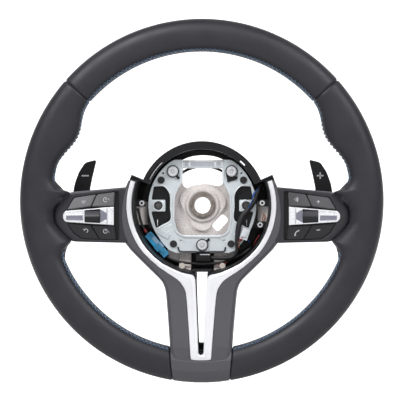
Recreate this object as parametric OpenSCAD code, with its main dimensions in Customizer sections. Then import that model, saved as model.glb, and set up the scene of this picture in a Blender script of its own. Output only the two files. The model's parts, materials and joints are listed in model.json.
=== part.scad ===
// Sports steering wheel with its driver airbag taken out.
// Each piece is drawn with the wheel lying on its back: x to the right, y to the top of the rim,
// z towards the driver. stand_up() then turns it upright, with the driver on the -Y side.
// The origin is on the column's axis, in the middle of the hub's depth.

/* [Rim] */
// Diameter across the outside of the rim
rim_d = 370; // [366:1:376]
// Width of the grip, measured along the radius
grip_w = 33.6; // [32:0.2:35]
// Depth of the grip, front to back
grip_depth = 30; // [28:0.5:32]
// Height of the rim's middle plane in front of the hub
rim_h = 48; // [46:0.5:50]
// How far the rim's centre lies above the column's axis
rim_lift = 4.8; // [4:0.1:6]
// How far a thumb rest swells inwards
thumb_bulge = 9.5; // [7:0.5:11]
// Angle from the top of the rim to the middle of a thumb rest
thumb_angle = 63; // [62:0.5:64]
// Angle from the top of the rim to the upper leather seams
seam_angle = 48.5; // [44:0.5:49]
// Thickness of the leather
leather_t = 1.3; // [1:0.1:1.8]
// Radius of the round ring that the casting has inside the grip
core_r = 6; // [5:0.5:7]

/* [Hub] */
// Radius of the bore that takes the steering column
bore_r = 8.5; // [8:0.1:9]
// Depth of the steel bush in the hub
bush_l = 26; // [24:1:28]
// Outer radius of the steel bush
bush_r = 12; // [11:0.25:13]
// Thickness of the hub's web
web_t = 10; // [8:0.5:11]
// Outer radius of the raised collar round the bore
boss_r = 16.5; // [15:0.5:18]
// Thickness of the casting's arms
arm_t = 8; // [7:0.5:9]
// Width of a side arm
side_arm_w = 24; // [20:1:26]
// Width of a lower arm
low_arm_w = 12; // [10:0.5:13]

/* [Well] */
// Inner radius of the bright trim round the well
trim_in_r = 71.2; // [70:0.2:72]
// Outer radius of the bright trim round the well
trim_out_r = 76.3; // [75.5:0.1:77]
// Height of the trim's front round the well
trim_h = 50; // [49:0.5:51]
// Wall of the plastic covers
wall = 2.5; // [2:0.1:3]
// Height of the joint between the front covers and the rear cover
split_h = 28; // [27:0.5:29]
// Outer radius of the collar above the well
collar_r = 66; // [65:0.5:67]
// Depth of the rear cover behind the hub's middle
back_depth = 34; // [30:1:38]
// Radius of the rear cover's opening for the column
column_hole_r = 40; // [38:0.5:42]

/* [Pods] */
// Height of a pod's front
pod_h = 49; // [48:0.5:50]
// Gap round each button
button_gap = 0.4; // [0.3:0.05:0.6]
// Travel of a button
button_travel = 0.8; // [0.5:0.1:1]
// How far a button stands out of its pod
button_proud = 1; // [0.9:0.1:1.3]
// Radius of the thumbwheel and of the rocker's face
wheel_r = 7.5; // [7:0.1:7.8]
// Width of the thumbwheel and of the rocker
wheel_w = 15; // [14:0.2:15.6]
// Radius of the pins that carry the thumbwheel and the rocker
wheel_pin_r = 1.2; // [1:0.1:1.5]
// Number of ribs round the thumbwheel
wheel_ribs = 24; // [18:1:28]

/* [Paddles] */
// Thickness of a shift paddle
paddle_t = 3; // [2.5:0.1:3.5]
// Distance from the column's axis to a paddle's hinge pin
hinge_x = 80; // [79.5:0.5:82]
// How far a paddle's hinge pin lies behind the rear cover's arm
hinge_h = 6.5; // [6.2:0.1:7]
// Radius of a paddle's hinge pin
hinge_pin_r = 1.5; // [1.2:0.1:1.8]
// Radius of a paddle's hinge barrel
barrel_r = 3; // [2.8:0.1:3.2]
// Length of a paddle's hinge barrel
barrel_l = 20; // [16:1:24]

/* [Horn plate] */
// Thickness of the plate that carries the airbag
plate_t = 2.5; // [2:0.1:3]
// Height of the plate's back
plate_h = 13.5; // [13:0.1:14.2]
// Distance of the upper screws from the middle
screw_x = 30.4; // [29:0.2:31]
// Height of the upper screws above the column's axis
screw_up = 35.1; // [34:0.2:36]
// Distance of the lower screw below the column's axis
screw_down = 41.2; // [41:0.2:42]
// Radius of a plate screw's shank
screw_r = 2.5; // [2:0.1:3]
// Radius of a plate screw's head
screw_head_r = 5.4; // [5:0.1:5.6]
// Wire thickness of a plate spring
spring_wire = 1; // [0.8:0.1:1.2]
// Number of turns of a plate spring
spring_turns = 3; // [3:1:4]

/* [Clearances] */
// Radial clearance of pins in turning bores
run_gap = 0.05; // [0.03:0.01:0.08]
// Radial clearance of the plate's sleeves on their screws
slide_gap = 0.05; // [0.03:0.01:0.08]
// Gap between pieces that seat on each other
seat_gap = 0.1; // [0.05:0.01:0.15]
// Gap between neighbouring trim pieces
trim_gap = 0.3; // [0.2:0.05:0.4]

/* [Hidden] */
$fn = 64;

rim_r = rim_d / 2 - grip_w / 2;
rim_in_r = rim_d / 2 - grip_w;
rim_foot_y = rim_lift - rim_in_r;
grip_points = 14;
foot_h = rim_h + grip_depth / 2;

// Outlines of the pods and of the lower spoke are drawn for a rim of this inner radius, and
// their outer parts reach to the real one
drawn_in_r = 151.4;
pod_in_x = 88;
spoke_bend_y = -70;
function fit_x(x) = abs(x) < pod_in_x ? x
    : sign(x) * (pod_in_x + (abs(x) - pod_in_x) * (rim_in_r - pod_in_x) / (drawn_in_r - pod_in_x));
function fit_y(y) = y > spoke_bend_y ? y
    : spoke_bend_y + (y - spoke_bend_y) * (rim_foot_y - spoke_bend_y) / (4.8 - drawn_in_r - spoke_bend_y);
function fitted(p) = [for (q = p) [fit_x(q[0]), fit_y(q[1])]];

// Web, arms and bosses of the casting
web_back = -web_t + 4;
web_front = 4;
boss_front = 10;
bush_back = -bush_l / 2;
plate_front = plate_h + plate_t;
spring_seat_h = 5.5;
side_arm_y = -8;
post_x = 20.8;
post_y = -62.4;
post_r = 3;
post_seat_h = 12.5;
slot_top_w = 6.1;
slot_foot_w = 2.7;
slot_top_y = -68;
silver_foot_y = rim_foot_y - 10;
foot_split_h = rim_h - 7;
// Back of the rim, and where the covers' joint begins to rise towards it
foot_back = rim_h - grip_depth / 2;
joint_run = 3.075;
split_bend_y = rim_foot_y + 4 + max(8, joint_run * (foot_back + 3 - split_h));

// Pods
pod_tip_x = rim_in_r - 1.2;
pod_tip_y = -9.8;
bezel_h = pod_h + 1.6;
bezel_back = pod_h - 1.2;
pod_front_t = 2.5;
pod_wall = 2.2;
button_skirt = 2.6;
wheel_x = fit_x(111);
wheel_y = -11.2;
wheel_axis_h = pod_h - 5;
// The board lies just behind the thumbwheel, the casting's arm behind the board
board_t = 1.6;
board_h = wheel_axis_h - wheel_r - 0.4 - board_t;
mat_h = board_h + board_t;
plunger_end_h = mat_h + 1.8;
pod_back = board_h - 4.5;
arm_h = board_h - 11.5;
// Floor of the rear cover's shells behind the arms, and the hinges behind it
arm_floor = arm_h - 11;
pin_h = arm_floor - hinge_h;
horn_travel = 1.5;

module stand_up() {
    rotate([90, 0, 0]) children();
}

module left_and_right() {
    children();
    mirror([1, 0, 0]) children();
}

// Points of a circular arc
function arc(cx, cy, r, a0, a1, n) =
    [for (i = [0 : n]) let (a = a0 + (a1 - a0) * i / n) [cx + r * cos(a), cy + r * sin(a)]];

// An outline with its corners rounded
function unit(v) = v / norm(v);
function rounded(p, r, n = 4) =
    [for (i = [0 : len(p) - 1])
        let (a = p[(i + len(p) - 1) % len(p)], b = p[i], c = p[(i + 1) % len(p)],
            u = unit(a - b), v = unit(c - b),
            cut = min(r, 0.45 * norm(a - b), 0.45 * norm(c - b)))
        for (k = [0 : n]) let (t = k / n)
            (1 - t) * (1 - t) * (b + cut * u) + 2 * t * (1 - t) * b + t * t * (b + cut * v)];

// The left half that mirrors a right half; a point on the middle line isn't doubled
function mirrored(p) = [for (i = [len(p) - 1 : -1 : 0]) if (p[i][0] != 0) [-p[i][0], p[i][1]]];

// A smooth curve through points of any dimension
function spline_at(a, b, c, d, t) =
    0.5 * ((2 * b) + (c - a) * t + (2 * a - 5 * b + 4 * c - d) * t * t
        + (3 * b - a - 3 * c + d) * t * t * t);
function smooth(p, per) =
    let (n = len(p) - 1)
    [for (i = [0 : n - 1]) for (k = [0 : per - 1])
        spline_at(p[max(i - 1, 0)], p[i], p[i + 1], p[min(i + 2, n)], k / per), p[n]];

// A strip of constant height thickness along a broken line in a side view
function band(p, t) =
    [for (i = [0 : len(p) - 1]) [p[i][0], p[i][1] + t / 2],
     for (i = [len(p) - 1 : -1 : 0]) [p[i][0], p[i][1] - t / 2]];

// A body swept through rings that all have the same number of points
module skin(rings, closed = false) {
    n = len(rings);
    m = len(rings[0]);
    last = closed ? n - 1 : n - 2;
    sides = [for (i = [0 : last]) for (j = [0 : m - 1])
        [i * m + j, i * m + (j + 1) % m, ((i + 1) % n) * m + (j + 1) % m, ((i + 1) % n) * m + j]];
    ends = closed ? [] : [[for (j = [m - 1 : -1 : 0]) j], [for (j = [0 : m - 1]) (n - 1) * m + j]];
    polyhedron([for (r = rings) each r], concat(sides, ends), convexity = 8);
}

// A tube of one wall thickness, from rings on its outside and its inside
module pipe(outer, inner) {
    n = len(outer);
    m = len(outer[0]);
    base = n * m;
    walls = [for (i = [0 : n - 2]) for (j = [0 : m - 1]) let (k = (j + 1) % m)
        each [[i * m + j, i * m + k, (i + 1) * m + k, (i + 1) * m + j],
            [base + i * m + j, base + (i + 1) * m + j, base + (i + 1) * m + k, base + i * m + k]]];
    rims = [for (j = [0 : m - 1]) let (k = (j + 1) % m, e = (n - 1) * m)
        each [[j, base + j, base + k, k], [e + j, e + k, base + e + k, base + e + j]]];
    polyhedron([for (r = outer) each r, for (r = inner) each r], concat(walls, rims), convexity = 8);
}

// A cord with round section through its route's points
module cord(route, r, sides = 8) {
    p = smooth(route, 2);
    n = len(p) - 1;
    rings = [for (i = [0 : n])
        let (t = unit(p[min(i + 1, n)] - p[max(i - 1, 0)]),
            s = unit(cross(t, [0.05, 0.02, 1])), u = cross(s, t))
        [for (j = [0 : sides - 1]) p[i] + r * (cos(360 * j / sides) * s + sin(360 * j / sides) * u)]];
    skin(rings);
}

// Rim

function hill(t, c, w) = abs(t - c) < w ? (1 + cos(180 * (t - c) / w)) / 2 : 0;
// How far the grip swells inwards at an angle from the top: thumb rest, then the two spoke roots
function swell(t) = thumb_bulge * hill(t, thumb_angle, 14.5) + 16 * hill(t, 87.6, 7)
    + 11 * hill(t, 107, 7.5);
function power(v, e) = sign(v) * pow(abs(v), e);
// One section of the grip on the left side, at an angle from the top, inset from its surface
function grip_ring(t, inset, slant = 0) =
    [for (j = [0 : grip_points - 1])
        let (a = 360 * j / grip_points, x = power(cos(a), 0.85), y = power(sin(a), 0.85),
            half = grip_w / 2 - inset, q = x > 0 ? x * half : x * (half + swell(t)),
            turn = t + slant * q / half)
        [-(rim_r + q) * sin(turn), rim_lift + (rim_r + q) * cos(turn),
            rim_h + y * (grip_depth / 2 - inset)]];
seam_slack = 0.12;
foot_angle = 169.5;
foot_slant = 1.55;
side_angles = [seam_angle + seam_slack, 52, 56, 60, 64, 68, 72, 76, 79.5, 82, 84.5, 87, 89.5, 92,
    95.5, 99, 102, 105, 108, 111, 114.5, 122, 130, 138, 146, 154, 161, foot_angle];
function side_slant(t) = foot_slant * max(0, t - 146) / (foot_angle - 146);
function grip_rings(inset, from = 0) =
    [for (i = [from : len(side_angles) - 1])
        grip_ring(side_angles[i], inset, side_slant(side_angles[i]))];
// The plain section of the grip, for the stretches that are turned about the rim's axis
function grip_profile(inset, r0 = rim_r) =
    [for (j = [0 : grip_points - 1])
        let (a = 360 * j / grip_points)
        [r0 + power(cos(a), 0.85) * (grip_w / 2 - inset),
            rim_h + power(sin(a), 0.85) * (grip_depth / 2 - inset)]];

module turned(from, sweep) {
    translate([0, rim_lift, 0]) rotate([0, 0, from]) rotate_extrude(angle = sweep) children();
}

module armature() {
    stand_up() color("#cdc3ba") difference() {
        union() {
            translate([0, rim_lift, 0]) rotate_extrude($fn = 96) translate([rim_r, rim_h]) circle(core_r);
            hub_web();
            left_and_right() side_arm(0);
            left_and_right() low_arm(0);
            left_and_right() translate([post_x, post_y, 0]) cylinder(r = post_r, h = post_seat_h);
            for (p = pod_screw_places) translate([p[0], p[1], 0]) cylinder(r = 3.4, h = tab_h - seat_gap);
            for (p = screw_places) translate([p[0], p[1], web_back])
                cylinder(r = screw_r + 4, h = spring_seat_h - web_back);
        }
        translate([0, 0, bush_back - 1]) cylinder(r = bush_r + seat_gap / 2, h = bush_l + 4);
        hub_window();
        for (p = screw_places) translate([p[0], p[1], web_back - 1])
            cylinder(r = screw_r + seat_gap / 2, h = web_t + 6);
        for (p = pod_screw_places) translate([p[0], p[1], -8])
            cylinder(r = pod_screw_r + seat_gap / 2, h = 30);
    }
}

screw_places = [[-screw_x, screw_up], [screw_x, screw_up], [0, -screw_down]];

// Hub's outline on the right: ear for an upper screw, shoulder for a lower arm
hub_side = [[22, 42], [37, 44], [41, 34], [38, 12], [40, -24], [35, -55], [20, -60], [18, -48], [0, -49]];
// Its wavy top, from the middle to the right and to the left
hub_top_right = [[0, 22.4], [8, 22], [15, 20], [21, 21.6]];
hub_top_left = [[4.5, 21.4], [10, 18.8], [15.5, 17.2], [21, 20.6]];

module hub_web() {
    translate([0, 0, web_back]) linear_extrude(web_t) polygon(rounded(
        concat(hub_top_right, hub_side, mirrored(concat(hub_top_left, hub_side))), 4, 3));
    // Rounded three-cornered pad under the raised collar
    translate([0, 0, web_front - 0.1]) linear_extrude(3.1)
        polygon(rounded([[-26, 8], [-12, 22], [14, 20], [27, 4], [16, -12], [4, -27], [-8, -25]], 9, 4));
    translate([0, 0, bush_back]) cylinder(r1 = boss_r, r2 = boss_r + 2, h = web_back - bush_back + 1);
    rotate_extrude() polygon([[bush_r - 1, 0], [boss_r + 3, 0], [boss_r + 2, 7], [boss_r, boss_front],
        [boss_r - 2, boss_front], [bush_r - 1, boss_front - 2]]);
}

// Slanted four-sided window in the web, to the lower right of the bore
module hub_window() {
    translate([0, 0, web_back - 1]) linear_extrude(web_t + 8)
        polygon(rounded([[8.9, -21.2], [15.7, -27.7], [27.4, -15], [20.5, -8.5]], 3, 3));
}

// Side view of a side arm: out of the web, forward behind the pod, and into the rim's ring
function side_arm_line() = [[30, -1], [56, 2], [66, 9], [75, arm_h - 3.8], [fit_x(120), arm_h],
    [rim_r - 26, arm_h + 5], [rim_r - 8, rim_h - 6], [rim_r, rim_h - 4]];
module side_arm(grow) {
    translate([0, side_arm_y, 0]) rotate([90, 0, 0])
        linear_extrude(side_arm_w + 2 * grow, center = true)
            polygon(band(side_arm_line(), arm_t + 2 * grow));
}

// Room for a side arm in a piece that reaches behind it
module side_arm_room(grow) {
    line = side_arm_line();
    last = len(line) - 1;
    translate([0, side_arm_y, 0]) rotate([90, 0, 0])
        linear_extrude(side_arm_w + 2 * grow, center = true)
            polygon(concat([for (p = line) [p[0], p[1] + arm_t / 2 + grow]],
                [[line[last][0], arm_floor], [line[0][0], arm_floor]]));
}

// Side view of a lower arm, which runs beside the slot of the lower spoke
low_arm_a = [-80, 20];
low_arm_b = [rim_foot_y + 16.6, foot_back + 1];
function low_arm_line() = [[-46, -1], [-62, 4], low_arm_a, low_arm_b,
    [rim_lift - rim_r + 22, foot_back + 7], [rim_lift - rim_r + 6, rim_h - 4], [rim_lift - rim_r, rim_h - 3]];
module low_arm(grow) {
    translate([18, 0, 0]) rotate([90, 0, 90])
        linear_extrude(low_arm_w + 2 * grow, center = true)
            polygon(band(low_arm_line(), arm_t + 2 * grow));
}

module hub_insert() {
    stand_up() color("#8f8780") difference() {
        translate([0, 0, bush_back]) cylinder(r = bush_r, h = bush_l);
        translate([0, 0, bush_back - 1]) cylinder(r = bore_r, h = bush_l + 2);
    }
}

module rim_foam() {
    inset = leather_t + 0.5;
    top = [for (t = [0 : 5 : 45]) grip_ring(t, inset)];
    foot = [for (t = [172, 176, 180]) grip_ring(t, inset)];
    half = concat(top, grip_rings(inset), foot);
    other = [for (i = [len(half) - 2 : -1 : 1])
        [for (p = half[i]) [-p[0], p[1], p[2]]]];
    stand_up() color("#3a3a3e") difference() {
        skin(concat(half, other), closed = true);
        translate([0, rim_lift, 0]) rotate_extrude($fn = 96)
            translate([rim_r, rim_h]) circle(core_r + seat_gap);
        left_and_right() side_arm(0.3);
        left_and_right() low_arm(0.3);
    }
}

module leather_top() {
    stand_up() color("#46454a") turned(90 - seam_angle, 2 * seam_angle) difference() {
        polygon(grip_profile(0));
        polygon(grip_profile(leather_t));
    }
}

module leather_side() {
    difference() {
        pipe(grip_rings(0), grip_rings(leather_t));
        mirror([1, 0, 0]) side_arm(0.6);
    }
}

module leather_left() {
    stand_up() color("#46454a") leather_side();
}

module leather_right() {
    stand_up() color("#46454a") mirror([1, 0, 0]) leather_side();
}

// Front covers

// Outer edge of the grey cover on the left, from its upper end down to the rim
cover_outer = concat(fitted([[-74.6, 25.2], [-79, 14.6], [-82.8, 2.2], [-84, -10], [-82.6, -25.2],
    [-77.1, -39.5], [-66.6, -51.5], [-49.2, -68.6], [-43.8, -73.8], [-40.2, -78], [-38, -82.5],
    [-36.2, -89.5], [-34.4, -108], [-32.9, -126]]), [[-31.3, rim_foot_y - 1]]);
// Both edges of the bright trim on the left, matched to those points
function on_ring(r, a) = [r * cos(a), r * sin(a)];
ring_angles = [160.5, 169, 178, 187, 197, 208, 220, 236];
trim_outer = concat([for (a = ring_angles) on_ring(trim_out_r, a)],
    fitted([[-28, -73], [-22.5, -77.2], [-18.6, -82.4], [-15.6, -89.5], [-13.8, -108], [-12.4, -126]]),
    [[-10.9, rim_foot_y - 1]]);
trim_inner = concat([for (a = ring_angles) on_ring(trim_in_r, a)],
    fitted([[-20, -68.3], [-11, -70.3], [-6.8, -73], [-5.6, -82], [-4.6, -103], [-3.6, -124]]),
    [[-slot_foot_w, rim_foot_y - 1]]);
// Its round foot below the slot
trim_foot_outer = [[-10.5, silver_foot_y + 3], [-9, silver_foot_y + 0.4], [0, silver_foot_y]];
trim_foot_inner = [[-2.1, rim_foot_y - 3.2], [-1.1, rim_foot_y - 4.3], [0, rim_foot_y - 4.6]];

// Height of the covers' front, rising from the well towards the rim's foot
function front_h(y) = trim_h + (foot_h - trim_h)
    * pow(max(0, min(1, (-y - 76) / (-rim_foot_y - 76))), 1.2);

function mirror_stations(s) =
    concat(s, [for (i = [len(s) - 2 : -1 : 0]) [for (p = s[i]) [-p[0], p[1], p[2]]]]);
function raise(p, h) = [p[0], p[1], h];

// Height of the joint with the rear cover, which rises towards the rim's foot
function split_at(y) = split_h + (foot_back + 3 - split_h)
    * max(0, min(1, (y - split_bend_y) / (rim_foot_y + 4 - split_bend_y)));
// The cover's section at one station: a channel with a rounded outer shoulder, open at the back
function cover_section(a, b) =
    let (u = unit(b - a), f = front_h(b[1]) - 0.4, g = trim_gap / 2, back = split_at(b[1]) + trim_gap,
        w = min(1, norm(b - a) / 7.5) * u)
    [raise(a + g * u + 1.6 * w, f - 6), raise(a + g * u + 1.6 * w, f - 2.2),
     raise(b - 3.8 * w, f - 2.7), raise(b - 2 * w, f - 6), raise(b - 2 * w, back), raise(b, back),
     raise(b, f - 5.6), raise(b - 1.1 * w, f - 2.4), raise(b - 3.6 * w, f - 0.5),
     raise(a + g * u + 0.8 * w, f), raise(a + g * u, f - 1), raise(a + g * u, f - 6)];

module spoke_cover() {
    last = len(cover_outer) - 1;
    // The last station lies inside the clasp
    end_y = rim_foot_y - 6;
    pairs = concat([for (i = [0 : last]) concat(trim_outer[i], cover_outer[i])],
        [[trim_outer[last][0] + 0.2, end_y, cover_outer[last][0] + 0.4, end_y]]);
    rings = [for (p = smooth(pairs, 2)) cover_section([p[0], p[1]], [p[2], p[3]])];
    stand_up() color("#58575c") {
        difference() {
            left_and_right() skin(rings);
            // Clear of the rim's foot and of the shell behind it
            skin(foot_rings(leather_t / 2));
            intersection() {
                skin(foot_rings(-trim_gap));
                translate([0, rim_foot_y, 0])
                    linear_extrude(foot_split_h + 2 * trim_gap) square(80, center = true);
            }
        }
        rim_clasp();
    }
}

// Outline of the rim's foot between the two lower leather seams
function seam_end(r, turn) = [r * sin(turn) - trim_gap, rim_lift + r * cos(turn)];
function foot_outline(up) =
    let (a = seam_end(rim_in_r, foot_angle - foot_slant), b = seam_end(rim_d / 2, foot_angle + foot_slant),
        u = unit(b - a), top = [a[0], a[1] + up], low = b + 8 * u)
    [[-top[0], top[1]], top, a, low, [-low[0], low[1]], [-a[0], a[1]]];

// Sections of the grip's foot, over which the cover and the shell behind it fit
function foot_rings(inset, more = 0) =
    [for (t = [166 - more : 4 : 194 + more]) grip_ring(t, inset)];
// The part of the cover that wraps the front of the rim's foot
module rim_clasp() {
    difference() {
        union() {
            intersection() {
                difference() {
                    skin(foot_rings(-0.2));
                    skin(foot_rings(leather_t, 2));
                }
                translate([0, 0, foot_split_h + trim_gap]) linear_extrude(40) polygon(foot_outline(0.1));
            }
            // Flat apron that runs from the spoke's front into the clasp
            translate([0, 0, foot_h - 2.2]) linear_extrude(1.65)
                polygon([[-27, rim_foot_y + 2], [27, rim_foot_y + 2], [26, rim_foot_y - 10.3],
                    [-26, rim_foot_y - 10.3]]);
        }
        translate([0, 0, rim_h - 0.7]) linear_extrude(30)
            polygon([[-11.5, -100], [-11.2, silver_foot_y + 2], [-9, silver_foot_y - trim_gap],
                [9, silver_foot_y - trim_gap], [11.2, silver_foot_y + 2], [11.5, -100]]);
        left_and_right() low_arm(0.3);
    }
}

// Bright trim: its ring and the two rails beside the slot, as one strip with a raised ridge
function trim_section(a, b) =
    let (u = unit(b - a), w = norm(b - a), f = front_h(b[1]))
    [raise(b, f - 2.2), raise(b, f - 1), raise(b - 0.4 * u, f - 0.5), raise(a + 0.5 * w * u, f + 0.1),
     raise(a + 0.32 * w * u, f + 0.5), raise(a + 0.5 * u, f - 0.2), raise(a, f - 0.8), raise(a, f - 2.2)];

module silver_trim() {
    inner = concat(trim_inner, trim_foot_inner);
    outer = concat(trim_outer, trim_foot_outer);
    pairs = [for (i = [0 : len(inner) - 1]) concat(inner[i], outer[i])];
    half = [for (p = smooth(pairs, 2)) trim_section([p[0], p[1]], [p[2], p[3]])];
    stand_up() color("#dcdce2") skin(mirror_stations(half));
}

// Black wall of the well, with the ledge that carries the bright trim and tabs for its screws
liner_r = 68;
pod_screw_places = [[-62.3, 2.3], [62, 2.4], [59.8, -20.1]];
pod_screw_r = 1.5;
tab_h = 17;
module well_liner() {
    stand_up() color("#1d1d20") difference() {
        union() {
            sector(90 + collar_half + 2.5, 360 - 2 * (collar_half + 2.5)) polygon([[liner_r, 12], [liner_r + wall, 12],
                [liner_r + wall, trim_h - 8], [trim_out_r - 1.2, trim_h - 5.2],
                [trim_out_r - 1.2, trim_h - 2.4], [trim_in_r - 0.5, trim_h - 2.4],
                [trim_in_r - 0.6, trim_h - 0.8], [trim_in_r - 1.7, trim_h - 0.8]]);
            for (p = pod_screw_places) screw_tab(p);
            // Wall across the head of the slot
            translate([-10, slot_top_y + 0.1, 12.5]) cube([20, wall, trim_h - 18]);
        }
        // Way through for the slot of the lower spoke
        translate([0, slot_top_y - 10, 0]) linear_extrude(80)
            square([2 * slot_top_w, 20], center = true);
        for (p = pod_screw_places) translate([p[0], p[1], 0])
            cylinder(r = pod_screw_r + seat_gap / 2, h = 30);
        left_and_right() side_arm(trim_gap);
        left_and_right() low_arm(trim_gap);
        left_and_right() translate([post_x, post_y, 0])
            cylinder(r = post_r + trim_gap, h = post_seat_h + 9);
    }
}

module screw_tab(p) {
    out = liner_r + 1;
    translate([0, 0, tab_h]) linear_extrude(2)
        intersection() {
            circle(out);
            translate([(p[0] + sign(p[0]) * out) / 2, p[1]])
                square([abs(out - abs(p[0])) + 7, 7], center = true);
        }
    translate([p[0], p[1], tab_h]) cylinder(r = 3.5, h = 2);
}

// Rear cover

function bowl_outer(r) = [[0, -12], [r - 15, -12], [r - 7, -4], [r, arm_floor + 4], [r, split_h],
    [0, split_h]];
function bowl_inner(r) = [[0, -12 + wall], [r - 16, -12 + wall], [r - 7 - wall, -3],
    [r - wall, arm_floor + 4.6], [r - wall, split_h + 1], [0, split_h + 1]];
rear_r = 79;
collar_half = 66.5;

module sector(from, sweep) {
    rotate([0, 0, from]) rotate_extrude(angle = sweep) children();
}

module rear_cover() {
    stand_up() color("#19191b") difference() {
        union() {
            sector(90 + collar_half, 360 - 2 * collar_half) polygon(bowl_outer(rear_r));
            rotate_extrude() polygon(collar_outer());
            // Rounded lip of the collar
            sector(90 - collar_half, 2 * collar_half) translate([collar_r - 4.2, 24]) circle(4, $fn = 32);
            translate([0, 0, -back_depth]) cylinder(r = column_hole_r + wall, h = back_depth - 10);
            left_and_right() rear_arm();
            rear_leg();
            foot_shell();
        }
        sector(90 + collar_half + 1.8, 360 - 2 * collar_half - 3.6) polygon(bowl_inner(rear_r));
        rotate_extrude() polygon(collar_inner());
        translate([0, 0, -back_depth - 1]) cylinder(r = column_hole_r, h = back_depth + 20);
        // Open middle above the hub
        translate([0, 26, -20]) linear_extrude(30) polygon(rounded([[-30, -10], [30, -10],
            [30, 15], [22, 21.8], [12, 25.6], [0, 26.8], [-12, 25.6], [-22, 21.8], [-30, 15]], 5));
        // Slit along the collar on the left, and a short one on the right
        sector(133, 20.6) translate([collar_r - 6.2, -20]) square([2.2, 60]);
        sector(43, 7) translate([collar_r - 6.5, -20]) square([1.7, 60]);
        left_and_right() rear_arm_inside();
        rear_leg_inside();
        left_and_right() low_arm(0.4);
        left_and_right() side_arm(0.4);
    }
}

function collar_outer() = [[0, -12.3], [collar_r - 7.5, -12.3], [collar_r - 1.5, -2], [collar_r, 12],
    [collar_r, split_h + 0.3], [0, split_h + 0.3]];
function collar_inner() = [[0, -12.3 + wall], [collar_r - 8.5, -12.3 + wall], [collar_r - 4.4, 2],
    [collar_r - 3, 12], [collar_r - 3, 20.8], [collar_r - 8.2, 24], [collar_r - 8, split_h + 2],
    [0, split_h + 2]];

// Shell behind a side arm, a little smaller than the pod in front of it
arm_end_x = pod_tip_x - 0.8;
function arm_outline(inset) =
    let (p = grown(pod_outline, -0.8 - inset))
    [[-62 - inset, p[0][1]], p[1], p[2], p[3], [-62 - inset, p[4][1]]];
module rear_arm() {
    translate([0, 0, arm_floor]) linear_extrude(pod_back - 2.2 - arm_floor)
        mirror([1, 0, 0]) polygon(rounded(arm_outline(0), 3));
}
module rear_arm_inside() {
    translate([0, 0, arm_floor + wall]) linear_extrude(split_h)
        mirror([1, 0, 0]) polygon(rounded(arm_outline(wall), 2));
    // Way out for the casting's arm
    translate([arm_end_x - 12, side_arm_y - side_arm_w / 2 - 0.5, arm_h + 2])
        cube([20, side_arm_w + 1, 30]);
}

// Shell behind the rim's foot
module foot_shell() {
    intersection() {
        turned(-104, 28) difference() {
            polygon(grip_profile(0));
            polygon(grip_profile(leather_t + 0.1));
        }
        translate([0, 0, 20]) linear_extrude(foot_split_h - 20) polygon(foot_outline(0.1));
    }
}

// Side view of the leg's floor, which keeps a wall clear of the casting's arm
function leg_floor() =
    let (bend = fit_y(-100), reach = (bend - low_arm_a[0]) / (low_arm_b[0] - low_arm_a[0]),
        arm = low_arm_a[1] + reach * (low_arm_b[1] - low_arm_a[1]))
    [[-60, 0], [-78, 8], [bend, arm - arm_t / 2 - wall - 0.1], [rim_foot_y + 8, foot_back - 5]];

// Shell behind the lower spoke, with the slot through it
module rear_leg() {
    rotate([90, 0, 90]) linear_extrude(60, center = true)
        polygon(concat(leg_floor(), [[rim_foot_y - 12, foot_back - 0.8], [rim_foot_y - 12, foot_back + 1.6],
            [rim_foot_y + 2, foot_back + 2], [rim_foot_y + 4, foot_back + 3],
            [split_bend_y, split_h - 0.2], [-60, split_h - 0.2]]));
}
module rear_leg_inside() {
    difference() {
        translate([0, 0, wall]) rotate([90, 0, 90]) linear_extrude(60 - 2 * wall, center = true)
            polygon(concat(leg_floor(), [[rim_foot_y + 3, foot_back - 3], [rim_foot_y + 3, foot_back + 7],
                [-62, foot_back + 7]]));
        // Walls of the slot
        translate([0, 0, -20]) linear_extrude(80)
            polygon([[-slot_top_w - 1.8, slot_top_y + 0.4], [slot_top_w + 1.8, slot_top_y + 0.4],
                [slot_foot_w + 1.8, rim_foot_y + 2], [-slot_foot_w - 1.8, rim_foot_y + 2]]);
    }
    translate([0, 0, -20]) linear_extrude(80)
        polygon(rounded([[-slot_top_w, slot_top_y], [slot_top_w, slot_top_y],
            [slot_foot_w, rim_foot_y + 6], [-slot_foot_w, rim_foot_y + 6]], 1.2));
}

// Switch pods

// Corners of the left pod's parts as seen from the front, on the right side mirrored
pod_outline = concat(fitted([[-70, 19.2], [-133, 12.4]]), [[-pod_tip_x, pod_tip_y]],
    fitted([[-133, -36.4], [-70, -38.6]]));
button_top_out = fitted([[-136.6, -4.6], [-129.5, 7.6], [-107.3, 10.9], [-112.6, -1.2]]);
button_top_in = fitted([[-111.4, -1.2], [-105.9, 11], [-88.2, 13.5], [-89, -0.9]]);
button_low_out = fitted([[-136.4, -18.2], [-130, -27.9], [-121, -33.8], [-103.9, -34.5],
    [-112.7, -20.5]]);
button_low_in = fitted([[-111.5, -20.6], [-103, -34.6], [-86.8, -34.8], [-88.6, -21]]);
bezel_outline = fitted([[-141, -10.9], [-136.5, -5.6], [-89, -1.5], [-89, -20.2], [-136.5, -17.2]]);
plunger_places = fitted([[-120, 3.4], [-98, 6], [-119, -27], [-98, -28]]);
button_shapes = [button_top_out, button_top_in, button_low_out, button_low_in];

// An outline grown by a distance, corner by corner
function grown(p, d) =
    [for (i = [0 : len(p) - 1])
        let (a = p[(i + len(p) - 1) % len(p)], b = p[i], c = p[(i + 1) % len(p)],
            u = unit(b - a), v = unit(c - b),
            nu = [u[1], -u[0]], nv = [v[1], -v[0]], m = unit(nu + nv), turn = winding(p))
        b + turn * d / max(0.4, m * nu) * m];
function winding(p) =
    sign(sum([for (i = [0 : len(p) - 1]) cross(p[i], p[(i + 1) % len(p)])]));
function sum(v, i = 0) = i >= len(v) ? 0 : v[i] + sum(v, i + 1);

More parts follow.
